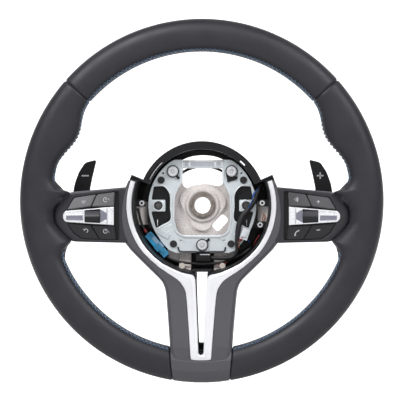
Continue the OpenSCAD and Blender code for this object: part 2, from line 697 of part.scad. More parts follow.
module pod() {
    difference() {
        union() {
            difference() {
                translate([0, 0, pod_back]) linear_extrude(pod_h - pod_back)
                    polygon(rounded(pod_outline, 3, 3));
                // Inside of the shell
                translate([0, 0, pod_back - 1]) linear_extrude(pod_h - pod_back + 1 - pod_front_t)
                    polygon(rounded(grown(pod_outline, -pod_wall), 3, 3));
            }
            pod_bearings();
        }
        // Wells of the buttons, deep enough for their travel
        for (b = button_shapes) translate([0, 0, pod_h - button_skirt - button_travel - 0.2])
            linear_extrude(button_skirt + button_travel + 2) polygon(rounded(grown(b, button_gap), 2, 3));
        translate([0, 0, bezel_back - 0.05]) linear_extrude(5) polygon(grown(bezel_outline, trim_gap / 2));
        translate([-wheel_x, wheel_y, pod_h]) cube([wheel_w + 0.8, 2 * wheel_r + 0.2, 10], center = true);
        // Clear of the cover's outer wall
        translate([0, 0, pod_back - 2]) linear_extrude(30) polygon(cover_edge());
        mirror([1, 0, 0]) side_arm_room(trim_gap);
    }
}

// The cover's outer edge, grown by the trim gap, as a closed outline
function cover_edge() = concat([[0, 30]],
    [for (p = smooth(cover_outer, 2)) p + trim_gap * unit([p[0], p[1] + 10])],
    [[0, rim_foot_y]]);

// Two cheeks behind the bezel that carry the pin of the wheel or rocker
cheek_t = 2.4;
module pod_bearings() {
    for (s = [-1, 1]) difference() {
        translate([-wheel_x + s * (wheel_w / 2 + 0.4 + cheek_t / 2), wheel_y, wheel_axis_h])
            translate([-cheek_t / 2, -5, -4]) cube([cheek_t, 10, 6.5]);
        translate([-wheel_x, wheel_y, wheel_axis_h]) rotate([0, 90, 0])
            cylinder(r = wheel_pin_r + 0.02, h = 40, center = true);
    }
    // Ribs that join the cheeks to the pod's front
    for (s = [-1, 1]) for (y = [-1, 1])
        translate([-wheel_x + s * (wheel_w / 2 + 0.4 + cheek_t / 2) - cheek_t / 2,
            wheel_y + y * 7.4 - 2.6, wheel_axis_h - 4])
            cube([cheek_t, 5.2, pod_h - pod_front_t + 0.3 - wheel_axis_h + 4]);
}

module left_pod() {
    stand_up() color("#2c2c30") pod();
}
module right_pod() {
    stand_up() color("#2c2c30") mirror([1, 0, 0]) pod();
}

// Bright arrow-shaped bezel with a window for the wheel or the rocker
module bezel() {
    difference() {
        translate([0, 0, bezel_back]) linear_extrude(bezel_h - bezel_back) polygon(bezel_outline);
        translate([-wheel_x, wheel_y, bezel_h]) cube([wheel_w + 0.8, 2 * wheel_r - 1.4, 20], center = true);
        // Faces that fall away towards the tip and both long edges
        translate([fit_x(-138), 0, bezel_h + 0.2]) rotate([0, -6, 0]) translate([-20, -30, 0])
            cube([20 + fit_x(-126) - fit_x(-138), 60, 8]);
        translate([-wheel_x + 1, -4.2, bezel_h - 0.1]) rotate([-16, 0, 4.9]) translate([-40, 0, 0])
            cube([90, 20, 6]);
        translate([-wheel_x + 1, -17.5, bezel_h - 0.1]) rotate([16, 0, -3.6]) translate([-40, -20, 0])
            cube([90, 20, 6]);
    }
}

module left_bezel() {
    stand_up() color("#d6d7dc") bezel();
}
module right_bezel() {
    stand_up() color("#d6d7dc") mirror([1, 0, 0]) bezel();
}

// A push button: cap with a stepped edge, skirt and plunger
module button(i) {
    shape = button_shapes[i];
    translate([0, 0, pod_h - button_skirt]) linear_extrude(button_skirt + button_proud - 0.4)
        polygon(rounded(shape, 1.8, 3));
    translate([0, 0, pod_h]) linear_extrude(button_proud) polygon(rounded(grown(shape, -0.7), 1.6, 3));
    translate([plunger_places[i][0], plunger_places[i][1], plunger_end_h])
        cylinder(r = 2, h = pod_h - 2 - plunger_end_h, $fn = 32);
}

module left_button_cancel() {
    stand_up() color("#333338") button(0);
}
module left_button_limit() {
    stand_up() color("#333338") button(1);
}
module left_button_return() {
    stand_up() color("#333338") button(2);
}
module left_button_distance() {
    stand_up() color("#333338") button(3);
}
module right_button_voice() {
    stand_up() color("#333338") mirror([1, 0, 0]) button(1);
}
module right_button_plus() {
    stand_up() color("#333338") mirror([1, 0, 0]) button(0);
}
module right_button_phone() {
    stand_up() color("#333338") mirror([1, 0, 0]) button(3);
}
module right_button_minus() {
    stand_up() color("#333338") mirror([1, 0, 0]) button(2);
}

// Smooth rocker that tips about its pin
rocker_foot = 3.2;
module left_rocker() {
    stand_up() color("#26262a") translate([-wheel_x, wheel_y, wheel_axis_h]) rotate([0, 90, 0]) difference() {
        linear_extrude(wheel_w, center = true) intersection() {
            circle(wheel_r);
            translate([-wheel_r / 2 - rocker_foot / 2, 0])
                square([wheel_r + rocker_foot, 2 * wheel_r - 2.6], center = true);
        }
        cylinder(r = wheel_pin_r + run_gap, h = wheel_w + 2, center = true);
    }
}

module wheel_pin() {
    translate([wheel_x, wheel_y, wheel_axis_h]) rotate([0, 90, 0])
        cylinder(r = wheel_pin_r, h = wheel_w + 0.8 + 2 * cheek_t, center = true);
}
module left_rocker_pin() {
    stand_up() color("silver") mirror([1, 0, 0]) wheel_pin();
}
module right_thumbwheel_pin() {
    stand_up() color("silver") wheel_pin();
}

// Ribbed thumbwheel
module right_thumbwheel() {
    step = 360 / wheel_ribs;
    ribs = [for (i = [0 : wheel_ribs - 1]) each [
        for (k = [[0.12, 0.55], [0.3, 0], [0.7, 0], [0.88, 0.55]])
            (wheel_r - k[1]) * [cos((i + k[0]) * step), sin((i + k[0]) * step)]]];
    stand_up() color("#26262a") translate([wheel_x, wheel_y, wheel_axis_h]) rotate([0, 90, 0])
        difference() {
            linear_extrude(wheel_w, center = true) polygon(ribs);
            cylinder(r = wheel_pin_r + run_gap, h = wheel_w + 2, center = true);
        }
}

// Board and dome mat behind the buttons
board_outline = fitted([[-90, 9], [-128, 4.5], [-138, pod_tip_y], [-128, -28], [-88, -33]]);
module circuit_board() {
    translate([0, 0, board_h]) linear_extrude(board_t) polygon(rounded(board_outline, 3, 2));
    // Posts that seat on the casting's arm
    difference() {
        for (x = [-100, -126]) translate([fit_x(x), side_arm_y - 3, arm_h])
            cylinder(r = 2, h = board_h - arm_h + 0.1, $fn = 24);
        mirror([1, 0, 0]) side_arm_room(seat_gap);
    }
}
module left_circuit_board() {
    stand_up() color("#2f5b3a") circuit_board();
}
module right_circuit_board() {
    stand_up() color("#2f5b3a") mirror([1, 0, 0]) circuit_board();
}

module dome_mat() {
    difference() {
        union() {
            translate([0, 0, mat_h + 0.02]) linear_extrude(0.8)
                polygon(rounded(grown(board_outline, -1), 3, 2));
            for (p = plunger_places) translate([p[0], p[1], mat_h + 0.02])
                cylinder(r = 3.6, h = 3.4, $fn = 32);
        }
        for (p = plunger_places) translate([p[0], p[1], plunger_end_h - button_travel - 0.2])
            cylinder(r = 2 + 0.25, h = 10, $fn = 32);
        translate([-wheel_x, wheel_y, wheel_axis_h]) cube([wheel_w + 7, 17, 20], center = true);
    }
}
module left_dome_mat() {
    stand_up() color("#cfd3d6") dome_mat();
}
module right_dome_mat() {
    stand_up() color("#cfd3d6") mirror([1, 0, 0]) dome_mat();
}

// Shift paddles, drawn on the left side

paddle_outline = [[-hinge_x, -14], [-118, -17], [-131, -4], [-135, 12.5], [-133.1, 23],
    [-128.8, 34.7], [-122.3, 44.6], [-110.4, 47.6], [-114.9, 28.8], [-117.6, 15], [-108, 9],
    [-hinge_x, 9]];
barrel_y = -2.5;
lug_t = 3;
paddle_back = pin_h - paddle_t / 2;

module paddle() {
    difference() {
        union() {
            difference() {
                translate([0, 0, paddle_back]) linear_extrude(paddle_t) polygon(rounded(paddle_outline, 3, 4));
                // Room for the bracket's two lugs
                for (s = [-1, 1])
                    translate([-hinge_x, barrel_y + s * (barrel_l / 2 + 5.2), pin_h])
                        cube([13, 10.4, 12], center = true);
            }
            translate([-hinge_x, barrel_y, pin_h]) rotate([90, 0, 0])
                cylinder(r = barrel_r, h = barrel_l, center = true);
        }
        translate([-hinge_x, barrel_y, pin_h]) rotate([90, 0, 0])
            cylinder(r = hinge_pin_r + run_gap, h = barrel_l + 20, center = true);
    }
}
module left_paddle() {
    stand_up() color("#141416") paddle();
}
module right_paddle() {
    stand_up() color("#141416") mirror([1, 0, 0]) paddle();
}

// Bracket under the rear cover's arm, with two lugs for the hinge pin
module paddle_bracket() {
    top = arm_floor - seat_gap;
    lug_y = barrel_l / 2 + 0.4 + lug_t / 2;
    difference() {
        union() {
            translate([-hinge_x - 7, barrel_y - lug_y - lug_t / 2, top - 2.8])
                cube([13, 2 * lug_y + lug_t, 2.8]);
            for (s = [-1, 1]) translate([-hinge_x, barrel_y + s * lug_y, 0]) {
                translate([0, 0, pin_h]) rotate([90, 0, 0]) cylinder(r = 4, h = lug_t, center = true);
                translate([-4, -lug_t / 2, pin_h]) cube([8, lug_t, top - pin_h]);
            }
        }
        translate([-hinge_x, barrel_y, pin_h]) rotate([90, 0, 0])
            cylinder(r = hinge_pin_r + 0.02, h = barrel_l + 20, center = true);
        rotate_extrude() polygon(bowl_outer(rear_r + trim_gap));
    }
}
module left_paddle_bracket() {
    stand_up() color("#222226") paddle_bracket();
}
module right_paddle_bracket() {
    stand_up() color("#222226") mirror([1, 0, 0]) paddle_bracket();
}

module paddle_pin() {
    translate([-hinge_x, barrel_y, pin_h]) rotate([90, 0, 0])
        cylinder(r = hinge_pin_r, h = barrel_l + 0.8 + 2 * lug_t, center = true);
}
module left_paddle_pin() {
    stand_up() color("silver") paddle_pin();
}
module right_paddle_pin() {
    stand_up() color("silver") mirror([1, 0, 0]) paddle_pin();
}

// Leaf spring between the rear cover's arm and the paddle
module paddle_spring() {
    leaf_t = 0.5;
    seat = arm_floor - seat_gap - leaf_t / 2;
    rest = paddle_back + paddle_t + seat_gap + leaf_t / 2;
    translate([0, -6, 0]) rotate([90, 0, 0]) linear_extrude(7, center = true)
        polygon(band([[-118, rest + 0.4], [-114, rest], [-110, rest + 0.4], [-100, seat], [-92, seat]],
            leaf_t));
}
module left_paddle_spring() {
    stand_up() color("silver") paddle_spring();
}
module right_paddle_spring() {
    stand_up() color("silver") mirror([1, 0, 0]) paddle_spring();
}

// Horn plate and what it floats on

insulator_r = 6.4;
insulator_top = plate_front + 1.6;
lug_hole = [45.5, -0.3, 4.5];

// Right half of the plate's outline, from the top edge down round its side to the foot
plate_half = concat([[21.4, 47.2], [29, 47.2]], arc(0, 0, 56, 53, -28, 9),
    [[42, -38], [34.5, -46.3], [28, -49.2]]);
window_half = [[21.3, 25.3], [28.6, 9], [29.2, -15], [25.2, -28.4], [18, -31.7]];
side_window = [[50.2, 19.5], [39.4, 20], [32.6, 11.4], [32.6, -15.6], [48, -23.6], [52.2, -9],
    [52.4, -6.3], [38.2, -6.3], [38.2, 5.7], [52.6, 5.7]];

module horn_plate() {
    stand_up() color("#bec6ca") difference() {
        union() {
            translate([0, 0, plate_h]) linear_extrude(plate_t)
                polygon(rounded(concat(plate_half, mirrored(plate_half)), 2, 2));
            // Raised rims of both lug holes
            for (s = [-1, 1]) translate([s * lug_hole[0], lug_hole[1], plate_h])
                cylinder(r = lug_hole[2] + 1.7, h = plate_t + 1);
            window_rim();
            // Cross bar over the window
            translate([-21.5, 39, plate_h]) cube([43, 6.3, 1.4]);
            left_and_right() pressed_ramp();
        }
        translate([0, 0, plate_h - 2]) linear_extrude(12)
            polygon(rounded(concat(window_half, mirrored(window_half)), 3, 3));
        translate([-20.6, 24, plate_h - 2]) cube([41.2, 15, 12]);
        translate([-20.6, 45.3, plate_h - 2]) cube([41.2, 5, 12]);
        left_and_right() translate([0, 0, plate_h - 2]) linear_extrude(12)
            polygon(rounded(side_window, 1.5, 3));
        for (s = [-1, 1]) translate([s * lug_hole[0], lug_hole[1], plate_h - 1])
            cylinder(r = lug_hole[2], h = 12);
        for (p = screw_places) translate([p[0], p[1], plate_h - 1])
            cylinder(r = insulator_r - 1.6 + seat_gap, h = 12);
        for (p = pad_places) translate([p[0], p[1], plate_h - 1]) cylinder(r = 2.2 + seat_gap, h = 8);
        for (p = small_holes) translate([p[0], p[1], plate_h - 1]) cylinder(r = 1, h = 8, $fn = 24);
    }
}

pad_places = [[-42.6, 26.1], [42.6, 26.1], [-29.8, -39.9], [29.8, -39.9]];
small_holes = [[-40.6, 33.2], [40.6, 33.2], [-22.6, -36.3], [22.6, -36.3]];

// Raised bright rim round the hub window
module window_rim() {
    translate([0, 0, plate_h]) linear_extrude(plate_t + 1.2) difference() {
        polygon(rounded(grown(concat([[21.3, 38]], window_half, mirrored(window_half), [[-21.3, 38]]), 1.6), 3, 3));
        translate([0, 45]) square([60, 10], center = true);
    }
}

// Pressed ramp in a lower corner
ramp_rise = 1;
module pressed_ramp() {
    translate([40, -29.5, plate_front - 0.1]) rotate([0, 0, 28])
        linear_extrude(ramp_rise + 0.1) square([13, 5.4], center = true);
}

module horn_insulators() {
    stand_up() color("#151517") for (i = [0 : 2]) translate([screw_places[i][0], screw_places[i][1], 0])
        difference() {
            union() {
                translate([0, 0, plate_front + 0.02]) cylinder(r = insulator_r, h = insulator_top - plate_front);
                translate([0, 0, plate_h]) cylinder(r = insulator_r - 1.6, h = plate_t + 0.2);
                // Tab that keys the insulator in the plate
                rotate([0, 0, [-50, -70, 40][i]]) translate([insulator_r - 1, -1.3, plate_front + 0.02])
                    cube([4.4, 2.6, 1.5]);
                // Wide foot of the upper right one
                if (i == 1) translate([0, 0, plate_front + 0.02]) linear_extrude(1.2)
                    polygon([[-5.8, -3.6], [6.3, -5.4], [5.8, -8.3], [-4.3, -11.3]]);
            }
            translate([0, 0, plate_h - 1]) cylinder(r = screw_r + slide_gap, h = 12);
        }
}

module horn_screws() {
    stand_up() color("#c9ccd0") for (p = screw_places) translate([p[0], p[1], 0]) difference() {
        union() {
            translate([0, 0, web_back]) cylinder(r = screw_r, h = insulator_top - web_back + 1);
            translate([0, 0, insulator_top + seat_gap]) cylinder(r = screw_head_r, h = 2.6);
            translate([0, 0, insulator_top + seat_gap + 2.6])
                cylinder(r1 = screw_head_r, r2 = screw_head_r - 0.7, h = 0.7);
        }
        // Six-lobed socket
        translate([0, 0, insulator_top + 0.5]) linear_extrude(5) union() {
            circle(1.9, $fn = 24);
            for (a = [0 : 60 : 300]) rotate(a) translate([1.9, 0]) circle(0.6, $fn = 16);
        }
    }
}

// One coil spring between the hub's boss and the plate
module horn_springs() {
    mid_r = screw_r + 0.9 + spring_wire / 2;
    low = spring_seat_h + spring_wire / 2 + seat_gap;
    high = plate_h - spring_wire / 2 - seat_gap;
    per_turn = 12;
    n = spring_turns * per_turn;
    // Level at both ends, rising between
    function rise(i) = low + (high - low) * max(0, min(1, (i - per_turn * 0.6) / (n - per_turn * 1.2)));
    rings = [for (i = [0 : n]) let (a = 360 * i / per_turn)
        [for (j = [0 : 5]) let (b = 60 * j, r = mid_r + spring_wire / 2 * cos(b))
            [r * cos(a), r * sin(a), rise(i) + spring_wire / 2 * sin(b)]]];
    stand_up() color("silver") for (p = screw_places) translate([p[0], p[1], 0]) skin(rings);
}

module plate_pads() {
    stand_up() color("#1b1b1d") for (p = pad_places) translate([p[0], p[1], 0]) {
        translate([0, 0, plate_front + 0.02]) cylinder(r = 3.7, h = 1.2);
        translate([0, 0, plate_h - 0.6]) cylinder(r = 2.2, h = plate_t + 0.8);
    }
}

// Wire spring along the foot of the plate that latches the airbag
wire_r = 0.8;
module clip_wire() {
    h = plate_front + wire_r + 0.05;
    stand_up() color("#1d1d1f") cord([[-25, -43, h], [-24.4, -45.6, h], [-23, -47.6, h], [-18, -48, h],
        [-10, -47.9, h], [0, -48.6, h], [10, -47.9, h], [18, -48, h], [22.4, -47.6, h],
        [23.6, -45.6, h], [24, -43, h]], wire_r, 8);
}

// Black blocks on the casting's arms, seen through the plate's side windows
module contact_block() {
    top = 11;
    // What stays clear of the pressed plate
    low_rise = plate_h - horn_travel - trim_gap - top;
    difference() {
        union() {
            translate([0, 0, web_front + seat_gap]) linear_extrude(top - web_front)
                polygon(rounded([[31, 21], [52, 22], [57, 8], [57, -22], [44, -27], [31, -20]], 2.5, 3));
            translate([40, 12.5, top]) cylinder(r = 3.6, h = low_rise);
            translate([36, -14, top]) cube([8, 2, 1.5]);
            translate([50, -16, top]) cube([1.6, 10, low_rise]);
        }
        translate([lug_hole[0], lug_hole[1], web_front]) cylinder(r = lug_hole[2] - 1, h = 20);
        translate([40, 12.5, top - 1]) cylinder(r = 1.6, h = 6);
        side_arm(0.3);
        for (p = screw_places) translate([p[0], p[1], web_front - 1]) cylinder(r = screw_r + 4.4, h = 20);
        for (p = concat(pod_screw_places, [[59.8, 17.5]])) translate([abs(p[0]), p[1], 0]) cylinder(r = 4, h = 30);
        translate([33, -2, top - 1.5]) cube([4, 12, 5]);
    }
}
module right_contact_block() {
    stand_up() color("#17171a") contact_block();
}
module left_contact_block() {
    stand_up() color("#17171a") mirror([1, 0, 0]) contact_block();
}

module pod_screws() {
    stand_up() color("#d0d3d6") for (p = pod_screw_places) translate([p[0], p[1], 0]) difference() {
        union() {
            translate([0, 0, tab_h + 2 + seat_gap]) cylinder(r = 2.7, h = 1.8);
            translate([0, 0, 2]) cylinder(r = pod_screw_r, h = tab_h + 1);
        }
        translate([0, 0, tab_h + 1]) cylinder(r = 1.1, h = 5, $fn = 24);
    }
}

// Metal posts at the head of the lower spoke
module spoke_posts() {
    stand_up() color("#c9ccd0") left_and_right() translate([post_x, post_y, post_seat_h + 0.05]) {
        cylinder(r = post_r - 1, h = 6);
        translate([0, 0, 5.9]) cylinder(r = post_r, h = 1.6);
    }
}

// Wiring

loom_route = [[61.6, 21.6, 16.4], [59.3, 17.4, 18], [56.5, 11, 19.6], [54.1, 4.1, 20],
    [47, -5, 20.6], [41.4, -11.7, 20.8], [38.2, -20, 21], [36.8, -27.5, 20.8], [35.9, -38.1, 20], [35.8, -47, 18.6], [31, -53.2, 18],
    [22, -54.6, 17.6], [14, -54.6, 14.6], [8.9, -54.6, 13]];
module right_loom() {
    stand_up() color("#1f1f22") cord(loom_route, 2, 8);
}
bottom_route = [[-36.4, -52.5, 15.4], [-34.4, -54.6, 15], [-28, -57.2, 14.4],
    [-21, -58.9, 14.2], [-12, -60, 14.4], [0, -60.4, 14.4], [12, -60, 14.4], [21, -58.9, 14.2], [30, -56, 13.6], [42, -50.2, 13.2],
    [50, -43.9, 12.6]];
module bottom_loom() {
    stand_up() color("#1f1f22") cord(bottom_route, 1.3, 8);
}
left_route = [[-66.5, -3.2, 20.2], [-65.4, -8, 19.2], [-63.4, -17, 17.2], [-60.4, -24.4, 15.7],
    [-58.5, -27, 15.6], [-56.5, -29.3, 15.6]];
module left_loom() {
    stand_up() color("#1f1f22") cord(left_route, 1.4, 8);
}

// Long two-part plug on the left, beside the plate
module blue_connector() {
    stand_up() color("#3c96be") translate([-46.85, -40.4, 12.4]) rotate([0, 0, -49]) {
        difference() {
            translate([-14.5, -4, 0]) cube([14.6, 8, 6.4]);
            translate([-13, -2.6, 5]) cube([8, 5.2, 3]);
        }
        translate([0, -4.6, -0.4]) cube([6.6, 9.2, 7.6]);
        translate([6.5, -3.6, 0]) cube([9, 7.2, 6]);
        translate([3, -1.4, 7]) cube([7, 2.8, 1.1]);
    }
}

module white_connector() {
    stand_up() color("#e4e6ea") translate([44.2, -29.6, plate_front + ramp_rise + 0.02])
        rotate([0, 0, 72]) difference() {
        union() {
            translate([-6, -4, 0]) cube([12, 8, 5]);
            translate([-3, -1.6, 4.9]) cube([6, 3.2, 1]);
        }
        translate([-5, -3, 4.2]) cube([1.4, 6, 3]);
    }
}

module bottom_plug() {
    stand_up() color("#161618") union() {
        translate([-6.4, -57.8, 6]) cube([14.8, 7, 12]);
        translate([-4.6, -50.9, 8]) cube([11, 1.4, 6]);
        translate([-3, -56, 17.9]) cube([8, 3.2, 1]);
    }
}

armature();
hub_insert();
rim_foam();
leather_top();
leather_left();
leather_right();
spoke_cover();
silver_trim();
well_liner();
rear_cover();
left_pod();
right_pod();
left_bezel();
right_bezel();
left_button_cancel();
left_button_limit();
left_button_return();
left_button_distance();
right_button_voice();
right_button_plus();
right_button_phone();
right_button_minus();
left_rocker();
left_rocker_pin();
right_thumbwheel();
right_thumbwheel_pin();
left_circuit_board();
right_circuit_board();
left_dome_mat();
right_dome_mat();
left_paddle();
right_paddle();
left_paddle_bracket();
right_paddle_bracket();
left_paddle_pin();
right_paddle_pin();
left_paddle_spring();
right_paddle_spring();
horn_plate();
horn_insulators();
horn_screws();
horn_springs();
plate_pads();
clip_wire();
left_contact_block();
right_contact_block();
pod_screws();
spoke_posts();
right_loom();
bottom_loom();
left_loom();
blue_connector();
white_connector();
bottom_plug();
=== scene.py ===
import json
import math

import bmesh
import bpy
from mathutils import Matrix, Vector


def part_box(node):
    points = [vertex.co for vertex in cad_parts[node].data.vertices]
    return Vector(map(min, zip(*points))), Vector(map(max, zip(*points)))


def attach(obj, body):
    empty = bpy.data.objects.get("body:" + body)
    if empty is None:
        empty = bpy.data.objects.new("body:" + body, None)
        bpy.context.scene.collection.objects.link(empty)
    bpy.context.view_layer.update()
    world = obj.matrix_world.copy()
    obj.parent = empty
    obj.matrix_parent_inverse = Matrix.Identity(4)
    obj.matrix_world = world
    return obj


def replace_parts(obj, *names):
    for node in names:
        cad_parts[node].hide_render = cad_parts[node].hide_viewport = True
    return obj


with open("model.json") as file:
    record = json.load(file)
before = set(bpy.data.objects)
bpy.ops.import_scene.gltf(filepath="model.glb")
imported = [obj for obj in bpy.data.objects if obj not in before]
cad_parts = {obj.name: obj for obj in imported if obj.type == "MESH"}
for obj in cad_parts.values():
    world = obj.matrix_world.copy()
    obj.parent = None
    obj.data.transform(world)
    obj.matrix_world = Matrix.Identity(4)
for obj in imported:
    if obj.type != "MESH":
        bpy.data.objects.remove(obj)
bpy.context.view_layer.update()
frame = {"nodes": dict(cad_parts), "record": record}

NODES = frame["nodes"]

# Sizes in millimetres in the drawing frame of the CAD: x right, y up the rim, h towards the driver
RIM_D, GRIP_W, GRIP_D, RIM_H, RIM_LIFT = 370.0, 33.6, 30.0, 48.0, 4.8
THUMB_BULGE, THUMB_ANGLE, THUMB_SPREAD = 9.5, 63, 14.5
SECTION_R = 15.5  # mean radius of the grip's section
RIM_R = RIM_D / 2 - GRIP_W / 2
SEAM, FOOT, FOOT_SLANT = 48.5, 169.5, 1.55
POD_H, BUTTON_PROUD, WHEEL_Y = 49.0, 1.0, -11.2
PLATE_FRONT, PADDLE_FRONT = 16.0, 7.0


def at(x, y, h):
    """A point of the drawing frame, in metres in the row frame."""
    return Vector((x, -h, y)) / 1000


# Camera

CAMERA_DIST, SENSOR = 1.9, 36
FOCAL_PIXELS, PICTURE_PIXELS = 983.2, 400


def camera():
    side, up = math.radians(1.8), math.radians(-0.3)
    target = at(-1.32, 5.35, RIM_H)
    back = Vector((math.sin(side) * math.cos(up), -math.cos(side) * math.cos(up), math.sin(up)))
    data = bpy.data.cameras.new("camera")
    data.sensor_width = SENSOR
    data.lens = FOCAL_PIXELS * SENSOR * CAMERA_DIST / PICTURE_PIXELS
    data.clip_start, data.clip_end = 0.01, 20
    cam = bpy.data.objects.new("camera", data)
    bpy.context.collection.objects.link(cam)
    cam.location = target + back * CAMERA_DIST
    cam.rotation_mode = "QUATERNION"
    cam.rotation_quaternion = (-back).to_track_quat("-Z", "Y")
    bpy.context.scene.camera = cam


camera()
bpy.context.scene.view_settings.view_transform = "Standard"


# Materials

class Mat:
    """A principled material whose colour, roughness and bump come from nodes."""

    def __init__(self, name, **sockets):
        self.m = bpy.data.materials.new(name)
        self.m.use_nodes = True
        self.nt = self.m.node_tree
        self.p = self.nt.nodes["Principled BSDF"]
        for k, v in sockets.items():
            self.p.inputs[k.replace("_", " ")].default_value = v
        self.co = self.nt.nodes.new("ShaderNodeTexCoord").outputs["Object"]
        self.normal = None

    def node(self, kind, ins=(), **props):
        n = self.nt.nodes.new("ShaderNode" + kind)
        for k, v in props.items():
            setattr(n, k, v)
        for k, v in dict(ins).items():
            if isinstance(v, bpy.types.NodeSocket):
                self.nt.links.new(v, n.inputs[k])
            else:
                n.inputs[k].default_value = v
        return n

    def noise(self, scale, detail=4.0, rough=0.55, co=None):
        return self.node("TexNoise", {"Vector": co or self.co, "Scale": scale, "Detail": detail,
                                      "Roughness": rough}).outputs["Fac"]

    def stretched(self, sx, sy, sz):
        return self.node("Mapping", {"Vector": self.co, "Scale": (sx, sy, sz)}).outputs["Vector"]

    def ramp(self, fac, stops):
        n = self.node("ValToRGB", {"Fac": fac})
        e = n.color_ramp.elements
        while len(e) < len(stops):
            e.new(0.5)
        for k, (pos, col) in enumerate(stops):
            e[k].position = pos
            e[k].color = col if len(col) == 4 else (*col, 1)
        return n.outputs["Color"]

    def range(self, fac, a, b, c, d):
        return self.node("MapRange", {"Value": fac, "From Min": a, "From Max": b, "To Min": c,
                                      "To Max": d}).outputs["Result"]

    def math(self, op, a, b=0.0):
        return self.node("Math", {0: a, 1: b}, operation=op).outputs["Value"]

    def mix(self, fac, a, b, kind="MIX"):
        n = self.node("Mix", data_type="RGBA", blend_type=kind)
        for k, v in ((0, fac), (6, a), (7, b)):
            if isinstance(v, bpy.types.NodeSocket):
                self.nt.links.new(v, n.inputs[k])
            else:
                n.inputs[k].default_value = v if k == 0 or len(v) == 4 else (*v, 1)
        return n.outputs[2]

    def colour(self, out):
        self.nt.links.new(out, self.p.inputs["Base Color"])
        return self

    def rough(self, fac, lo, hi, a=0.3, b=0.7):
        self.nt.links.new(self.range(fac, a, b, lo, hi), self.p.inputs["Roughness"])
        return self

    def bump(self, fac, dist, strength=1.0):
        ins = {"Height": fac, "Distance": dist, "Strength": strength}
        if self.normal:
            ins["Normal"] = self.normal
        self.normal = self.node("Bump", ins).outputs["Normal"]
        self.nt.links.new(self.normal, self.p.inputs["Normal"])
        return self


def shade(c, k):
    return tuple(min(1.0, v * k) for v in c)


def moulded(name, col, rough=0.5, grain=2600, depth=0.00004, spread=0.12, **kw):
    """Moulded plastic: eroded grain, faint flow marks and rub marks."""
    m = Mat(name, Roughness=rough, **kw)
    flow, fine = m.noise(28, 5, 0.6), m.noise(grain, 2, 0.5)
    m.colour(m.mix(m.range(fine, 0.35, 0.65, 0.0, 1.0), shade(col, 1 - spread), shade(col, 1 + spread)))
    m.rough(flow, rough - 0.06, rough + 0.08)
    cells = m.node("TexVoronoi", {"Vector": m.co, "Scale": grain * 0.55}).outputs["Distance"]
    return m.bump(cells, depth, 0.7).bump(flow, 0.0003, 0.25).m


def metal(name, col, rough=0.35, brushed=None, spread=0.1, metallic=1.0, relief=1.0, even=1.0, **kw):
    """Metal with drawn lines or a fine matt surface, and small dull patches."""
    m = Mat(name, Metallic=metallic, Roughness=rough, **kw)
    lines = m.noise(900, 3, 0.6, m.stretched(*(brushed or (1, 1, 1))))
    patch = m.noise(60, 6, 0.65)
    m.colour(m.mix(m.range(patch, 0.35, 0.7, 0.0, 1.0), shade(col, 1 + spread), shade(col, 1 - spread)))
    m.rough(lines, rough - 0.08 * even, rough + 0.12 * even)
    return m.bump(lines, 0.00003 * relief, 0.6).bump(patch, 0.0001 * relief, 0.2).m


def leather(name="leather"):
    m = Mat(name, Roughness=0.45, Sheen_Weight=0.02, Sheen_Roughness=0.4, Specular_IOR_Level=0.5)
    cells = m.node("TexVoronoi", {"Vector": m.co, "Scale": 900.0, "Randomness": 1.0},
                   feature="DISTANCE_TO_EDGE").outputs["Distance"]
    creases = m.range(cells, 0.0, 0.18, 0.0, 1.0)
    soft = m.noise(35, 6, 0.6)
    pores = m.noise(3200, 2, 0.5)
    base = m.mix(m.range(soft, 0.3, 0.7, 0.0, 1.0), (0.018, 0.0176, 0.0235), (0.0255, 0.0247, 0.032))
    m.colour(m.mix(m.range(creases, 0.0, 1.0, 0.3, 0.0), base, (0.010, 0.010, 0.013)))
    m.rough(soft, 0.40, 0.54)
    return m.bump(creases, 0.00006, 0.5).bump(pores, 0.00003, 0.5).bump(soft, 0.0006, 0.3).m


def button_plastic():
    """Switch caps, whose faces fall away on both sides of the bright bezel between them, the upper caps with
    a painted highlight.
    """
    m = Mat("button_plastic", Roughness=0.34, Specular_IOR_Level=0.6)
    xyz = m.node("SeparateXYZ", {"Vector": m.co}).outputs
    away = m.math("ABSOLUTE", m.math("ADD", xyz[2], -WHEEL_Y / 1000))
    fine, flow = m.noise(3000, 2, 0.5), m.noise(40, 4, 0.6)
    # Painted highlight: caps above the wheel are coloured lighter, more so towards the rim, for the top light
    # they reflect
    tip = m.range(m.math("ABSOLUTE", xyz[0]), 0.088, 0.120, 0.55, 1.0)
    painted_highlight = m.math("MULTIPLY", m.range(xyz[2], WHEEL_Y / 1000 - 0.001, WHEEL_Y / 1000 + 0.001, 0.0, 1.0), tip)
    base = m.mix(painted_highlight, (0.014, 0.014, 0.017), (0.088, 0.085, 0.093))
    m.colour(m.mix(m.range(fine, 0.35, 0.65, 0.0, 0.2), base, (0.0, 0.0, 0.0)))
    m.rough(flow, 0.32, 0.42)
    return m.bump(m.math("MULTIPLY", away, -0.42), 1.0).bump(fine, 0.00002, 0.6).m


def from_axis(m):
    """How far a point of the surface is from the column's axis."""
    xyz = m.node("SeparateXYZ", {"Vector": m.co}).outputs
    squares = [m.math("MULTIPLY", xyz[i], xyz[i]) for i in (0, 2)]
    return m.math("SQRT", m.math("ADD", *squares))


